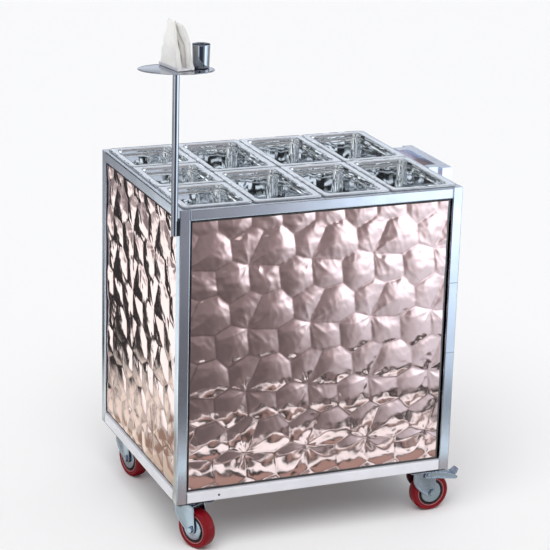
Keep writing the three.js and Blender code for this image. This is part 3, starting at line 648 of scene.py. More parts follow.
def oval(half_long, half_wide, z):
    turns = [2 * math.pi * i / TRAY_STEPS for i in range(TRAY_STEPS)]
    return [(half_long * math.cos(a), half_wide * math.sin(a), z) for a in turns]


tray_place = foot_of("tray_pole")
tray_place.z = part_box("oval_tray")[0][2]
rings = [oval((TRAY_HALF[0] - inset) * MM, (TRAY_HALF[1] - min(inset, TRAY_MIDDLE_INSET)) * MM, z * MM)
         for inset, z in TRAY_PROFILE]
piece("pressed_tray", loft(rings), MIRROR_STEEL, "cabinet", "oval_tray",
      at=Matrix.Translation(tray_place) @ Matrix.Rotation(TRAY_TURN, 4, "Z"))
print("tray level:", round(tray_place.z, 4))

# %% Cup
CUP_PROFILE = [(0.01, 0), (15.8, 0), (17.0, 0.4), (17.7, 1.4), (17.9, 3), (19.2, 47.5), (19.4, 48.6), (19.5, 49.4),
               (19.3, 49.9), (18.9, 49.9), (18.6, 49.4), (18.4, 47.3), (17.0, 3.4), (16.2, 1.9), (15.0, 1.2),
               (0.01, 1.0)]
piece("spun_cup", turned(CUP_PROFILE, 48), MIRROR_STEEL, "cup", "steel_cup",
      at=Matrix.Translation(foot_of("steel_cup")))
print("cup height, mm:", max(z for _, z in CUP_PROFILE))

# %% Pole
pole_low, pole_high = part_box("tray_pole")
length = (pole_high[2] - pole_low[2]) / MM
POLE_PROFILE = [(6.6, 0), (7.2, 0.1), (7.5, 0.5), (7.5, length - 0.5), (7.2, length - 0.1), (6.6, length),
                (6.3, length - 0.3), (6.3, 0.3)]
piece("polished_pole", turned(POLE_PROFILE, 40, joined=True), MIRROR_STEEL, "cabinet", "tray_pole",
      at=Matrix.Translation(foot_of("tray_pole")))
print("pole length, mm:", round(length, 1))

# %% [markdown]
# ## Napkins
#
# Two bunches of folded paper napkins lean together like an A, and their front edges
# retreat upwards. The right bunch shows its creased inner face through the gap, and the
# tops are ragged where leaves end at different heights. Paper this stiff doesn't drape, so
# cloth simulation would only soften it: each leaf is a thin grid, bent by smooth noise.

# %% Leaves of folded paper, in millimetres in the holder's frame
HOLDER_TURN = math.radians(10)
LEAVES, LEAF_COLUMNS, LEAF_ROWS, LEAF_SHARE = 5, 30, 32, 0.6
NAPKIN_SHARP = math.radians(70)
# Edges are (share of height, place along the holder) pairs
BUNCHES = {
    "napkins_left": {"side": -1, "tall": 105, "lean": 4.5, "foot": 7.0, "top": 3.5, "seed": 1.3,
                     "front": [(0, -38.5), (0.27, -32), (0.5, -23), (0.71, -13), (0.9, -4), (1, 3)],
                     "back": [(0, 39.5), (0.33, 39), (0.44, 28.5), (0.6, 28.5), (0.78, 17.5), (0.93, 20), (1, 15)]},
    "napkins_right": {"side": 1, "tall": 99, "lean": 15.0, "foot": 6.5, "top": 5.0, "seed": 4.7,
                      "front": [(0, -44), (0.15, -39), (0.4, -38), (0.6, -38.5), (0.8, -32), (1, -25)],
                      "back": [(0, 36), (0.4, 33), (0.7, 26), (1, 15)]}}
# Outer face at the foot; the holder's lip keeps the paper inside it below the gripped height
OUTER_FOOT, LIP, GRIPPED, LOOSE_FROM = 17.6, 18.4, 8, 12
# Where the fold on the inner face of the right bunch runs, and its ridge and hollows:
# height, place from the fold, width
FOLD_HEIGHTS, FOLD_PLACES = (0, 24, 48, 74, 99), (-17, -19, -17, 4, 12)
FOLD_WAVES = [(3.4, 0, 5), (-2.6, 11, 6), (-1.8, -12, 6)]
# Painted shade: its width round the fold, how far past the fold the inner face deep behind the left bunch is shaded,
# and how dark it is there
FOLD_SHADE, SHADED_PAST_FOLD, PAST_FOLD_SHADE = 5, 18, 0.9
# How leaves differ: torn tops, strays of the front edge, and crumples that are long and short
TORN, STRAY, LEAF_STEP, LEAN_CURVE = 0.13, 2.2, 0.5, 1.35
LONG_CRUMPLE, SHORT_CRUMPLE, CRUMPLE = (17, 34), (7, 15), 2.6
SHORTER, SHORTER_EVERY_OTHER = 0.1, 0.025


def edge_at(pairs, share):
    return float(np.interp(share, *zip(*pairs)))


def leaf_point(shape, leaf, depth, top, a, b):
    """Place and shade of a leaf's point, at a from front to back and b of the way up."""
    side, seed = shape["side"], shape["seed"]
    torn = abs(ruffle(a * 5.2, leaf * 1.7, seed)) + 0.5 * abs(ruffle(a * 14, leaf, seed))
    z = b * top * (1 - TORN * torn * b * b)
    rise, loose = z / shape["tall"], min(1, z / LOOSE_FROM)
    y = edge_at(shape["front"], rise) * (1 - a) + edge_at(shape["back"], rise) * a
    y += ruffle(leaf * 2.3, b * 4, seed) * STRAY * (1 - a) * min(1, 3 * b) - leaf * LEAF_STEP * (1 - a)
    thick = shape["foot"] * (1 - rise) + shape["top"] * rise + leaf * LEAF_STEP * (1 - a) ** 3 * loose
    crumple = CRUMPLE * ruffle(y / LONG_CRUMPLE[0], z / LONG_CRUMPLE[1], seed)
    crumple += ruffle(y / SHORT_CRUMPLE[0], z / SHORT_CRUMPLE[1], seed + leaf * 0.15)
    x = OUTER_FOOT - depth * thick - shape["lean"] * rise ** LEAN_CURVE + crumple * loose
    shade = 0.0
    if side > 0:
        off = y - float(np.interp(z, FOLD_HEIGHTS, FOLD_PLACES))
        x += loose * sum(high * math.exp(-((off - place) / wide) ** 2) for high, place, wide in FOLD_WAVES)
        # Painted shade along the fold, and over the inner face deep behind the left bunch
        shade = max(math.exp(-(off / FOLD_SHADE) ** 2), PAST_FOLD_SHADE if off > SHADED_PAST_FOLD else 0.0)
    return (side * (min(x, LIP) if z < GRIPPED else x), y, z), shade


print("bunches, mm tall:", [shape["tall"] for shape in BUNCHES.values()])


# %% Leaning bunches
def napkin_bunch(node, body):
    """A stack of thin folded leaves in the space of the CAD bunch."""
    shape = BUNCHES[node]
    verts, faces, shades = [], [], []
    size = (LEAF_COLUMNS + 1) * (LEAF_ROWS + 1)
    rim = grid_rim(LEAF_COLUMNS, LEAF_ROWS)
    for leaf in range(LEAVES):
        lost = SHORTER * abs(ruffle(leaf * 3.1, shape["seed"], 0)) + SHORTER_EVERY_OTHER * (leaf % 2)
        top = shape["tall"] * (1 - lost)
        start = len(verts)
        for depth in (leaf / LEAVES, (leaf + LEAF_SHARE) / LEAVES):
            for i in range(LEAF_COLUMNS + 1):
                for j in range(LEAF_ROWS + 1):
                    point, shade = leaf_point(shape, leaf, depth, top, i / LEAF_COLUMNS, j / LEAF_ROWS)
                    verts.append(point)
                    shades.append(shade)
        faces += grid_faces(LEAF_COLUMNS, LEAF_ROWS, start)
        faces += [face[::-1] for face in grid_faces(LEAF_COLUMNS, LEAF_ROWS, start + size)]
        faces += band([start + k for k in rim], [start + size + k for k in rim])
    holder = middle_of("napkin_holder")
    holder.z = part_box(node)[0][2]
    at = Matrix.Translation(holder) @ Matrix.Rotation(HOLDER_TURN, 4, "Z") @ Matrix.Scale(MM, 4)
    made = piece(f"folded_{node}", (verts, faces), PAPER, body, node, NAPKIN_SHARP, at)
    mark_crease_shade(made, shades)


napkin_bunch("napkins_left", "left_napkins")
napkin_bunch("napkins_right", "right_napkins")
print("napkin leaves:", LEAVES * len(BUNCHES))

# %% [markdown]
# ## Wheels
#
# Each tyre is moulded on a black core. It has a bead where it meets the core, a slightly
# crowned tread and rounded shoulders. A torus would be too round for a caster's tyre, so
# the real section is turned as a closed ring, and the core inside it the same way.

# %% Places on the casters
CORNER_NAMES = ["front_left", "front_right", "back_left", "back_right"]
TRAIL = 28.0
AXLE_HEIGHT = middle_of("caster_axle_front_left").z / MM


def swivel_place(corner):
    """Foot of the swivel's axis on the floor; x runs along the trail and y along the axle."""
    hub = middle_of(f"caster_axle_{corner}")
    swivel = middle_of(f"caster_plate_{corner}")
    yaw = math.atan2(hub.y - swivel.y, hub.x - swivel.x)
    return Matrix.Translation((swivel.x, swivel.y, 0)) @ Matrix.Rotation(yaw, 4, "Z")


def along_axle(x, z):
    """Turns a profile's axis to the y axis, at a place in the swivel's frame in millimetres."""
    return Matrix.Translation((x * MM, 0, z * MM)) @ Matrix.Rotation(math.pi / 2, 4, "X")


def both_sides(profile):
    return [[(r, side * y) for r, y in profile] for side in (-1, 1)]


print("axle height, mm:", round(AXLE_HEIGHT, 2))

# %% Tyres and cores
def mirrored(half):
    """A whole section from its left half."""
    return half + [(r, -y) for r, y in reversed(half) if y]


TYRE_PROFILE = mirrored([(32.0, -13.5), (34.6, -14.4), (35.6, -13.6), (37.0, -13.4), (40.5, -14.9), (43.4, -14.4),
                         (45.3, -12.6), (46.3, -9.4), (46.75, -5), (46.9, 0)])
CORE_PROFILE = mirrored([(4.5, -14), (9.8, -14), (11, -13.2), (11.2, -5.4), (12.4, -4.5), (25.6, -4.5), (27.4, -5.4),
                         (28.0, -12.6), (28.8, -13.5), (31.0, -13.5), (31.7, -12.8)])
BEAD_RADIUS, BEAD_OUT = 33.6, 14.3
TYRE_BEAD_RING = [(BEAD_RADIUS + 1.1 * math.cos(math.pi * k / 4), BEAD_OUT + 0.75 * math.sin(math.pi * k / 4))
                  for k in range(8)]
for corner in CORNER_NAMES:
    place = swivel_place(corner) @ along_axle(TRAIL, AXLE_HEIGHT)
    body = f"wheel_{corner}"
    piece(f"moulded_tyre_{corner}", turned(TYRE_PROFILE, 64, place, joined=True), TYRE_RED, body,
          f"caster_tyre_{corner}")
    beads = [turned(ring, 64, place, joined=True) for ring in both_sides(TYRE_BEAD_RING)]
    # The bead ring is real geometry, and its lighter pink is a painted highlight
    piece(f"tyre_bead_glint_{corner}", merged(beads), TYRE_BEAD_GLINT, body)
    piece(f"moulded_core_{corner}", turned(CORE_PROFILE, 48, place, joined=True), CORE_BLACK, body,
          f"caster_core_{corner}")
print("wheels:", len(CORNER_NAMES))

# %% [markdown]
# ## Forks, axles and brake pedals
#
# The fork is pressed from one zinc-plated sheet: a domed crown under the ball race and two
# dished legs that taper in one sweep to the axle. A flat plate with a bevel would lose the
# dish, so each leg is lofted over insets of one smooth outline, which gives its rounded
# edge and the pressed step inside its rim. A dished guard is clamped on each side of the
# wheel, and the pedal is a folded channel with a toe.

# %% Outlines for pressed plates
def smooth_outline(points, steps=5):
    """A closed curve through the points, in the plane of the leg."""
    count = len(points)
    curve = []
    for i in range(count):
        p0, p1, p2, p3 = (np.array(points[(i + k) % count], float) for k in (-1, 0, 1, 2))
        for step in range(steps):
            t = step / steps
            curve.append(0.5 * (2 * p1 + (p2 - p0) * t + (2 * p0 - 5 * p1 + 4 * p2 - p3) * t * t
                                + (3 * p1 - p0 - 3 * p2 + p3) * t ** 3))
    return np.array(curve)


def inset_outline(outline, distance):
    """The outline moved inwards along its normals."""
    along = np.roll(outline, -1, 0) - np.roll(outline, 1, 0)
    normal = np.stack([-along[:, 1], along[:, 0]], 1) / np.linalg.norm(along, axis=1)[:, None]
    area = np.sum(outline[:, 0] * np.roll(outline[:, 1], -1) - np.roll(outline[:, 0], -1) * outline[:, 1])
    return outline + normal * distance * math.copysign(1, area)


def pressed_plate(outline, side, inner, outer, edge, rim=0.0, step=0.0):
    """A standing plate with a rounded edge and, inside its rim, a pressed step; millimetres."""
    stations = [(edge, inner), (0, inner + edge), (0, outer - edge), (0.3 * edge, outer - 0.3 * edge), (edge, outer)]
    if rim:
        stations += [(rim, outer), (rim + 1.0, outer - step * 0.5), (rim + 2.2, outer - step)]
    rings = [[(x * MM, side * y * MM, z * MM) for x, z in inset_outline(outline, inset)] for inset, y in stations]
    return loft(rings)


print("points on a curve through four:", len(smooth_outline([(0, 0), (1, 0), (1, 1), (0, 1)])))


# %% Pressed forks
CROWN_BOTTOM = 103.0
LEG_INNER, LEG_OUTER = 17.5, 20.0
LEG_OUTLINE = smooth_outline([(-19.5, 105.6), (-23, 98), (-23.5, 88), (-21.5, 77), (-14, 64), (-3, 53), (9, 43.5),
                              (18.5, 37.6), (28, 35.8), (36, 38.8), (39, 46.5), (38.4, 57), (37.5, 68), (37, 80),
                              (36, 92), (33.5, 101), (28.5, 105.6), (4, 106)])
WEB_MIDDLE, WEB_HALF = 5.0, 27.0
PIN_X, PIN_Z = 14.0, 95.0
CROWN_PROFILE = [(0.01, 103), (27.4, 103), (28.8, 104.2), (29, 107.5), (28.2, 109.6), (26, 111.2), (23, 112),
                 (0.01, 112)]
PIN_PROFILE = [(0.01, 22.9), (4.4, 22.9), (4.5, 23.3), (3.8, 24.0), (2.2, 24.4), (0.01, 24.5)]
WEB_RADIUS, WEB_TOP, WEB_EDGE = 3.5, 106, 0.8
for corner in CORNER_NAMES:
    web = [[(x + WEB_MIDDLE * MM, y, z) for x, y, z in
            rounded_ring((WEB_HALF - inset) * MM, (LEG_OUTER - inset) * MM, (WEB_RADIUS - inset) * MM, z * MM)]
           for inset, z in ((WEB_EDGE, CROWN_BOTTOM), (0, CROWN_BOTTOM + WEB_EDGE), (0, WEB_TOP - WEB_EDGE),
                            (WEB_EDGE, WEB_TOP))]
    shells = [turned(CROWN_PROFILE, 48), loft(web)]
    shells += [pressed_plate(LEG_OUTLINE, side, LEG_INNER, LEG_OUTER, 0.7, rim=3.4, step=0.9) for side in (-1, 1)]
    if corner.endswith("right"):
        shells += [turned(pin, 20, along_axle(PIN_X, PIN_Z)) for pin in both_sides(PIN_PROFILE)]
    piece(f"pressed_fork_{corner}", merged(shells), ZINC, f"swivel_{corner}", f"caster_fork_{corner}",
          at=swivel_place(corner))
print("forks:", len(CORNER_NAMES))

# %% Axles with their guards
GUARD_PROFILE = [(4.2, 14.6), (13, 14.6), (19, 14.1), (22, 14.4), (24.4, 14.2), (25.8, 13.5), (26.2, 14.1),
                 (25, 15.2), (22.2, 15.6), (19.2, 15.2), (13.2, 15.7), (8.2, 15.8), (7.6, 17.1), (4.2, 17.1)]
NUT_PROFILE = [(0.01, 21.0), (7.5, 21.0), (7.5, 24.2), (6.5, 25.2), (0.01, 25.2)]
WASHER_PROFILE = [(0.01, 20.1), (8.9, 20.1), (9.1, 20.5), (8.8, 21.0), (0.01, 21.0)]
ROD_PROFILE = [(0.01, -21), (3.9, -21), (3.9, 21), (0.01, 21)]
for corner in CORNER_NAMES:
    shells = [turned(ROD_PROFILE, 20)]
    for guard, nut, washer in zip(*map(both_sides, (GUARD_PROFILE, NUT_PROFILE, WASHER_PROFILE))):
        shells += [turned(guard, 56, joined=True), turned(nut, 6), turned(washer, 28)]
    piece(f"bolted_axle_{corner}", merged(shells), ZINC, f"swivel_{corner}", f"caster_axle_{corner}",
          at=swivel_place(corner) @ along_axle(TRAIL, AXLE_HEIGHT))
print("shells in an axle:", len(shells))

# %% Brake pedals
CHEEK_INNER, CHEEK_OUTER = 20.5, 22.5
CHEEK_OUTLINE = smooth_outline([(-8, -7.5), (4, -10.5), (22, -11.5), (40, -14.5), (56, -17), (68, -19), (76, -19.5),
                                (80, -16.5), (77, -11.5), (66, -6.5), (52, -1.8), (36, 3.4), (20, 6.6), (6, 7.4),
                                (-5, 6.2), (-9, -0.5)])
# The pedal's top plate and toe: along the pedal, height, half width
PEDAL_PATH = [(27, 5.4, 22.4), (36, 3.2, 22.4), (50, -1.4, 22.4), (62, -5.4, 22.2), (70, -9.0, 20), (75, -11.4, 17.5),
              (79, -11.6, 15), (83, -8.0, 13.4), (87, -3.6, 12.2), (89.2, -1.4, 9.5)]
PEDAL_SHEET = 2.0
PEDAL_SECTION_EDGE = 0.5


def pedal_plate():
    """The folded top plate, lofted over sections that follow the pedal's path."""
    rings = []
    for i, (x, z, half) in enumerate(PEDAL_PATH):
        before, after = PEDAL_PATH[max(i - 1, 0)], PEDAL_PATH[min(i + 1, len(PEDAL_PATH) - 1)]
        slope = math.atan2(after[1] - before[1], after[0] - before[0])
        nx, nz = -math.sin(slope) * PEDAL_SHEET / 2, math.cos(slope) * PEDAL_SHEET / 2
        flat = half - PEDAL_SECTION_EDGE
        section = [(-half, -0.6), (-flat, -1), (flat, -1), (half, -0.6),
                   (half, 0.6), (flat, 1), (-flat, 1), (-half, 0.6)]
        rings.append([((x + k * nx) * MM, y * MM, (z + k * nz) * MM) for y, k in section])
    return loft(rings)


for corner in ("front_right", "back_right"):
    shells = [pressed_plate(CHEEK_OUTLINE, side, CHEEK_INNER, CHEEK_OUTER, 0.5, rim=3.0, step=0.5) for side in (-1, 1)]
    piece(f"folded_pedal_{corner}", merged(shells + [pedal_plate()]), ZINC, f"pedal_{corner}",
          f"brake_pedal_{corner}", at=swivel_place(corner) @ Matrix.Translation((PIN_X * MM, 0, PIN_Z * MM)))
print("stations along a pedal:", len(PEDAL_PATH))

# %% Bolts that hold the caster plates
BOLT_PROFILE = [(0.01, 113.2), (5.6, 113.2), (6.5, 114.1), (6.5, 117.3), (0.01, 117.3)]
BOLT_WASHER = [(0.01, 117.3), (7.9, 117.3), (8.1, 117.7), (8.0, 118.4), (0.01, 118.4)]
BOLT_OFFSET = (36, 43)
for corner in CORNER_NAMES:
    swivel = middle_of(f"caster_plate_{corner}")
    shells = []
    for sx, sy in ((-1, -1), (-1, 1), (1, -1), (1, 1)):
        spot = Matrix.Translation((swivel.x + sx * BOLT_OFFSET[0] * MM, swivel.y + sy * BOLT_OFFSET[1] * MM, 0))
        shells += [turned(BOLT_PROFILE, 6, spot), turned(BOLT_WASHER, 24, spot)]
    piece(f"plate_bolts_{corner}", merged(shells), ZINC, "cabinet")
print("bolts and washers on a plate:", len(shells))

# %% [markdown]
# ## Welds and marks of the frame
#
# The square tubes are butted and welded at every corner, and the beads are ground nearly
# flush, so each shows as a narrow dull stripe. The right post has two such seams part of
# the way up, and the front bottom rail has a small plugged drain hole. Painted lines would
# vanish at a low angle, so each bead is a low rippled ridge of its own.

# %% Ground weld beads
BEAD_HALF, BEAD_HIGH, BEAD_STEP, BEAD_SUNK, BEAD_RIPPLE = 1.3, 0.3, 2.5, 0.1, 0.12
BEAD_ANGLES = (0.3, 0.9, 1.57, 2.24, 2.84)
BEAD_PAST_TUBE, BEAD_END, RIPPLE_TURN = 0.15, 0.5, 2.4
SEAM_HALF, SEAM_SHARES = 0.9, (0.671, 0.424)


def weld(start, end, normal, half=BEAD_HALF):
    """A low rippled bead between two places on a face, in metres."""
    start, end, normal = Vector(start), Vector(end), Vector(normal)
    side = normal.cross((end - start).normalized())
    count = max(2, round((end - start).length / MM / BEAD_STEP))
    rings = []
    for i in range(count + 1):
        taper = BEAD_END if i in (0, count) else 1.0
        wide = half * taper * (1 + BEAD_RIPPLE * math.sin(i * RIPPLE_TURN))
        ring = [(-wide, -BEAD_SUNK), (wide, -BEAD_SUNK)]
        ring += [(wide * math.cos(a), BEAD_HIGH * taper * math.sin(a)) for a in BEAD_ANGLES]
        at = start.lerp(end, i / count)
        rings.append([at + (side * u + normal * w) * MM for u, w in ring])
    return loft(rings)


post_fl, post_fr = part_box("post_front_left"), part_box("post_front_right")
beads = []
for rail in ("top_rail_front", "bottom_rail_front"):
    low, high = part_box(rail)
    for x in (low[0] - BEAD_PAST_TUBE * MM, high[0] + BEAD_PAST_TUBE * MM):
        beads.append(weld((x, low[1], low[2] + MM), (x, low[1], high[2] - MM), (0, -1, 0)))
for rail, x, way in (("left", post_fl[0][0], -1), ("right", post_fr[1][0], 1)):
    for level in ("top", "bottom"):
        low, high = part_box(f"{level}_rail_{rail}")
        for y in (low[1] - BEAD_PAST_TUBE * MM, high[1] + BEAD_PAST_TUBE * MM):
            beads.append(weld((x, y, low[2] + MM), (x, y, high[2] - MM), (way, 0, 0)))
for share in SEAM_SHARES:
    low, high = post_fr
    z = low[2] + share * (high[2] - low[2])
    beads.append(weld((low[0] + MM, low[1], z), (high[0] - MM, low[1], z), (0, -1, 0), SEAM_HALF))
piece("ground_welds", merged(beads), WELD, "cabinet")
print("weld beads:", len(beads))

# %% Plug in the front bottom rail
DRAIN_FROM_CORNER = 0.102
PLUG_PROFILE = [(0.01, 0.05), (2.6, 0.05), (2.5, 0.5), (1.6, 0.8), (0.01, 0.9)]
low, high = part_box("bottom_rail_front")
plug_at = Matrix.Translation((post_fl[0][0] + DRAIN_FROM_CORNER, low[1], (low[2] + high[2]) / 2))
piece("drain_plug", turned(PLUG_PROFILE, 20, plug_at @ Matrix.Rotation(math.pi / 2, 4, "X")), PLATE_STEEL, "cabinet")
print("plug level:", round((low[2] + high[2]) / 2, 4))

# %% [markdown]
# ## Studio
#
# A plain pale floor under one broad, even light keeps every colour as it is written.
# Polished sheet shows only what stands round it, so an empty white studio would leave it
# blank. For glossy rays alone the floor glows with painted light and dark stripes and patches,
# and the world is a room with windows. Camera rays see the plain studio, and the floor keeps the trolley's shadow.

# %% Colours that the floor glows with for glossy rays: painted reflections
DARK, TAN, PALE, DUSKY = (0.02, 0.02, 0.02), (0.46, 0.37, 0.34), (1.22, 1.42, 1.5), (0.27, 0.25, 0.26)
BROWN = (0.36, 0.29, 0.27)
# Stripes, as shares of the stretch ahead of the trolley
AHEAD = [(0.0, TAN), (0.155, TAN), (0.165, DARK), (0.195, DARK), (0.205, PALE), (0.36, PALE), (0.37, DARK),
         (0.405, DARK), (0.415, BROWN), (0.52, BROWN), (0.53, PALE), (0.59, PALE), (0.60, DARK), (0.64, DARK),
         (0.65, DUSKY)]
# Brightness of the floor further out, from the left of the trolley to its right
FAR = [(0.0, (0.85, 0.86, 0.9)), (0.117, (0.75, 0.76, 0.8)), (0.25, (0.13, 0.13, 0.14)),
       (0.567, (0.215, 0.205, 0.22)), (0.653, (0.36, 0.36, 0.39)), (0.733, (0.82, 0.92, 1.02)),
       (0.813, (1.15, 1.34, 1.52)), (1.0, (1.3, 1.55, 1.75))]
# Stripes of the stretch beside the trolley
BESIDE = [(0.0, (0.55, 0.56, 0.50)), (0.18, (0.72, 0.70, 0.58)), (0.22, (0.28, 0.20, 0.14)),
          (0.26, (0.62, 0.66, 0.62)), (0.42, (0.66, 0.70, 0.66)), (0.45, (0.22, 0.17, 0.15)),
          (0.48, (0.70, 0.74, 0.70)), (0.66, (0.72, 0.76, 0.72)), (0.69, (0.10, 0.09, 0.09)),
          (0.73, (0.10, 0.09, 0.09)), (0.76, (0.9, 1.0, 1.0)), (1.0, (1.1, 1.3, 1.35))]
print("stripes ahead:", len(AHEAD), "beside:", len(BESIDE))

# %% Where they lie, in metres, the trolley's middle at zero
AHEAD_FROM, AHEAD_TO, BESIDE_FROM, BESIDE_TO = 0.4, 1.25, 0.4, 1.4
SWEEP_FROM, SWEEP_TO, SWEEP_SLOPE = -2.1, 0.9, 0.41
FAR_STARTS, FAR_LIT = (0.96, 1.04), (1.4, 2.6, 0.72, 1.4)
# A dark patch in the floor's glow, a painted reflection for the pole: as seen from its foot, towards the camera
POLE_FOOT, TO_CAMERA = (-0.333, -0.252), (-0.334, -0.943)
NIGHT, NIGHT_ASIDE, NIGHT_ALONG = (0.025, 0.04, 0.078), (0.50, 0.42), (2.05, 2.3)
EDGE_DARK, EDGE_SLOPE, EDGE = (0.012, 0.012, 0.014), -0.25, (0.46, 0.49)
BRIGHT_LEFT, BRIGHT_RIGHT = (1.35, 1.5, 1.52), (0.8, 0.86, 0.9)
SHARDS, PATCHES, SIDEWAYS_SLOPE = (0.84, 1.06), (2.1, 2.45), 0.4
SIDE_FROM_Y, SIDE_FROM_X = (-0.42, -0.32), (0.33, 0.36)
# Borders wander by noise: its scale, how far in front, and shares of that beside and along the dark edge
WANDER_SCALE, WANDER, WANDER_BESIDE, WANDER_EDGE = 3.2, 0.6, 0.5, 0.4
# Spots: scale of their noise, and where it starts and ends to show them
DARK_SPOTS, BROWN_SPOTS = (9, 0.61, 0.63), (4.5, 0.60, 0.64)
PALE_SPOTS, GREY_PATCHES = (3.5, 0.47, 0.43), (1.4, 0.46, 0.54)
print("from stripes to light, metres ahead:", FAR_STARTS)


# %% What polished sheet sees of the floor
def floor_in_gloss():
    """Colour that a place on the floor glows with, for rays that leave polished sheet: a painted reflection."""
    group, given, out = new_group("floor_seen_in_gloss", [("Place", VECTOR, (0, 0, 0))], [("Colour", COLOUR)])
    place = given["Place"]
    apart = add(group, "ShaderNodeSeparateXYZ", Vector=place).outputs
    x, y = apart["X"], apart["Y"]

    def plus(first, second):
        return maths(group, "ADD", first, second)

    def times(first, second):
        return maths(group, "MULTIPLY", first, second)

    def spots(scale, low, high):
        return eased(group, noise_at(group, place, Scale=scale, Detail=1), low, high)

    shift = times(plus(noise_at(group, place, Scale=WANDER_SCALE, Detail=2), -0.5), WANDER)
    beside, behind = maths(group, "ABSOLUTE", x), maths(group, "ABSOLUTE", y)
    # In front: stripes near the trolley, then a wide sweep of light that grows to the right
    ahead = plus(behind, shift)
    near = ramp(group, mapped(group, ahead, AHEAD_FROM, AHEAD_TO), AHEAD)
    near = mixed(group, spots(*DARK_SPOTS), near, DARK)
    sweep = mapped(group, plus(x, times(behind, -SWEEP_SLOPE)), SWEEP_FROM, SWEEP_TO)
    lit = eased(group, behind, *FAR_LIT)
    far = add(group, "ShaderNodeVectorMath", operation="SCALE", Vector=ramp(group, sweep, FAR), Scale=lit).outputs[0]
    front = mixed(group, eased(group, ahead, *FAR_STARTS), near, far)
    from_pole = plus(x, -POLE_FOOT[0]), plus(y, -POLE_FOOT[1])
    lateral, along = (plus(times(from_pole[0], a), times(from_pole[1], b))
                      for a, b in ((-TO_CAMERA[1], TO_CAMERA[0]), TO_CAMERA))
    aside = maths(group, "DIVIDE", maths(group, "ABSOLUTE", lateral), along)
    night = times(eased(group, aside, *NIGHT_ASIDE), eased(group, along, *NIGHT_ALONG))
    front = mixed(group, night, front, NIGHT)
    # Beside: mottled stripes, then bright shards behind a dark edge, then large patches
    sideways = plus(plus(beside, times(y, SIDEWAYS_SLOPE)), times(shift, WANDER_BESIDE))
    side = ramp(group, mapped(group, sideways, BESIDE_FROM, BESIDE_TO), BESIDE)
    side = mixed(group, spots(*BROWN_SPOTS), side, (0.33, 0.26, 0.21))
    side = mixed(group, spots(*PALE_SPOTS), side, (1.0, 1.02, 0.94))
    slant = plus(plus(beside, times(y, EDGE_SLOPE)), times(shift, WANDER_EDGE))
    bright = mixed(group, eased(group, x, 0.0, 0.3), BRIGHT_LEFT, BRIGHT_RIGHT)
    shards = mixed(group, eased(group, slant, *EDGE), EDGE_DARK, bright)
    side = mixed(group, eased(group, sideways, *SHARDS), side, shards)
    patches = mixed(group, spots(*GREY_PATCHES), (0.24, 0.24, 0.26), (0.68, 0.71, 0.74))
    side = mixed(group, eased(group, sideways, *PATCHES), side, patches)
    is_side = times(eased(group, y, *SIDE_FROM_Y), eased(group, beside, *SIDE_FROM_X))
    fill(group, out, {"Colour": mixed(group, is_side, front, side)})
    return group


FLOOR_SEEN = floor_in_gloss()
print("group:", FLOOR_SEEN.name, "of", len(FLOOR_SEEN.nodes), "nodes")

# %% Floor
FLOOR_HALF = 14.0
PALE_FLOOR = (0.94, 0.94, 0.95)


def floor():
    """A stage that keeps the trolley's shadow and, for glossy rays alone, glows with painted colours that polished
    sheet reflects.
    """
    mesh = bpy.data.meshes.new("studio_floor")
    corners = [(sx * FLOOR_HALF, sy * FLOOR_HALF, 0) for sx, sy in ((-1, -1), (1, -1), (1, 1), (-1, 1))]
    mesh.from_pydata(corners, [], [(0, 1, 2, 3)])
    obj = bpy.data.objects.new("studio_floor", mesh)
    bpy.context.scene.collection.objects.link(obj)
    material, tree, shader = new_material("pale_floor")
    place = add(tree, "ShaderNodeTexCoord").outputs["Object"]
    seen = add(tree, "ShaderNodeGroup", node_tree=FLOOR_SEEN, Place=place).outputs["Colour"]
    gloss = add(tree, "ShaderNodeLightPath").outputs["Is Glossy Ray"]
    fill(tree, shader, {"Roughness": 0.8, "Emission Strength": 1.0,
                        "Base Color": mixed(tree, gloss, PALE_FLOOR, BLACK),
                        "Emission Color": mixed(tree, gloss, BLACK, seen)})
    mesh.materials.append(material)


floor()
print("floor half width:", FLOOR_HALF)

# %% The room that polished sheet sees
world = bpy.context.scene.world or bpy.data.worlds.new("studio")
bpy.context.scene.world = world
world.use_nodes = True
tree = world.node_tree
tree.nodes.clear()
look = add(tree, "ShaderNodeTexCoord").outputs["Generated"]
heading = add(tree, "ShaderNodeSeparateXYZ", Vector=look).outputs
ROOM_DARK = (0.05, 0.05, 0.055)
# Soft round patches of light: colour, direction, and angles in degrees where each is full and gone
ROOM_LIGHTS = [((0.40, 0.385, 0.41), (0.4, -0.9, 0.1), 35, 60), ((1.1, 1.2, 1.35), (0.95, -0.3, 0.12), 14, 42),
               ((1.5, 1.55, 1.6), (0.93, -0.3, 0.35), 18, 30), ((0.9, 0.95, 1.05), (-0.9, 0.2, 0.5), 14, 26),
               ((1.1, 1.12, 1.15), (0.1, 0.1, 1.0), 22, 40)]
TOP_LIGHT = ((0.85, 0.9, 1.0), (0.3625, 0.8813, 0.3029), 5, 9)
# Panes of a window wall, from black to bright, by chance
PANES_ROUND, PANES_UP, PANE_SHARE = 130, 34, 0.85
PANES = [(0.0, (0.01, 0.012, 0.015)), (0.50, (0.04, 0.045, 0.045)), (0.54, (0.2, 0.23, 0.22)),
         (0.68, (0.4, 0.44, 0.43)), (0.72, (1.6, 1.7, 1.75)), (1.0, (1.9, 2.0, 2.05))]
PANES_RISE, PANES_END = (0.10, 0.14), (0.75, 0.60)


def patch(under, colour, aim, inner, outer):
    near = add(tree, "ShaderNodeVectorMath", operation="DOT_PRODUCT")
    near = fill(tree, near, {0: look, 1: Vector(aim).normalized()}).outputs["Value"]
    share = eased(tree, near, math.cos(math.radians(outer)), math.cos(math.radians(inner)))
    return mixed(tree, share, under, colour)


def whole(value, steps):
    return maths(tree, "FLOOR", maths(tree, "MULTIPLY", value, steps))


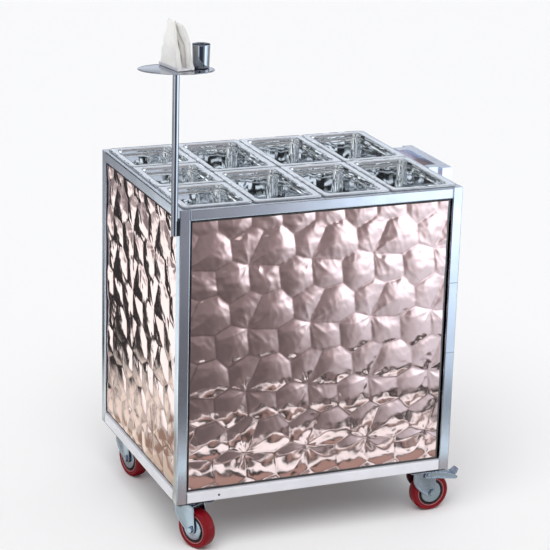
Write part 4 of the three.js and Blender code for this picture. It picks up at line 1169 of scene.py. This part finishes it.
room_colour = ROOM_DARK
for light in ROOM_LIGHTS:
    room_colour = patch(room_colour, *light)
azimuth = maths(tree, "ARCTAN2", heading["Y"], heading["X"])
cell = add(tree, "ShaderNodeCombineXYZ", X=whole(azimuth, PANES_ROUND / (2 * math.pi)),
           Y=whole(heading["Z"], PANES_UP))
chance = add(tree, "ShaderNodeTexWhiteNoise", noise_dimensions="2D", Vector=cell.outputs[0]).outputs["Value"]
raised = maths(tree, "MULTIPLY", eased(tree, heading["Z"], *PANES_RISE), eased(tree, heading["Z"], *PANES_END))
room_colour = mixed(tree, maths(tree, "MULTIPLY", raised, PANE_SHARE), room_colour, ramp(tree, chance, PANES))
room_colour = patch(room_colour, *TOP_LIGHT)
print("room lights:", len(ROOM_LIGHTS) + 1)

# %% Backdrop: plain for the camera, soft for light, the room for glossy rays
path = add(tree, "ShaderNodeLightPath").outputs
plain = add(tree, "ShaderNodeBackground", Color=(0.97, 0.97, 0.98, 1), Strength=1.0)
ambient = add(tree, "ShaderNodeBackground", Color=(0.97, 0.98, 1.0, 1), Strength=0.55)
room = add(tree, "ShaderNodeBackground", Color=room_colour, Strength=1.0)


def chosen(share, otherwise, where):
    node = add(tree, "ShaderNodeMixShader")
    return fill(tree, node, {0: share, 1: otherwise.outputs[0], 2: where.outputs[0]})


seen = chosen(path["Is Camera Ray"], chosen(path["Is Glossy Ray"], ambient, room), plain)
add(tree, "ShaderNodeOutputWorld", Surface=seen.outputs[0])
print("world nodes:", len(tree.nodes))

# %% Soft light
sun = bpy.data.lights.new("broad_light", "SUN")
sun.energy = 1.9
sun.angle = math.radians(50)
sun.color = (1.0, 0.99, 0.98)
lamp = bpy.data.objects.new("broad_light", sun)
lamp.location = (-1.5, -2.5, 4.5)
lamp.rotation_euler = (-lamp.location).to_track_quat("-Z", "Y").to_euler()
lamp.visible_glossy = False
bpy.context.scene.collection.objects.link(lamp)
print("light from", tuple(lamp.location))

# %% Camera at the photograph's angle
EYE = Vector((-1.8021, -4.3998, 2.0682))
RIGHT_WAY = Vector((0.9276, -0.3727, 0.0258)).normalized()
FORWARD = Vector((0.3625, 0.8813, -0.3029)).normalized()
UP_WAY = RIGHT_WAY.cross(FORWARD).normalized()
lens = bpy.data.cameras.new("camera")
lens.lens, lens.sensor_width = 139.2, 36
camera = bpy.data.objects.new("camera", lens)
camera.matrix_world = Matrix.Translation(EYE) @ Matrix((RIGHT_WAY, UP_WAY, -FORWARD)).transposed().to_4x4()
bpy.context.scene.collection.objects.link(camera)
bpy.context.scene.camera = camera
bpy.context.scene.view_settings.view_transform = "Standard"
print("camera", round(EYE.length, 2), "m from the trolley's foot")
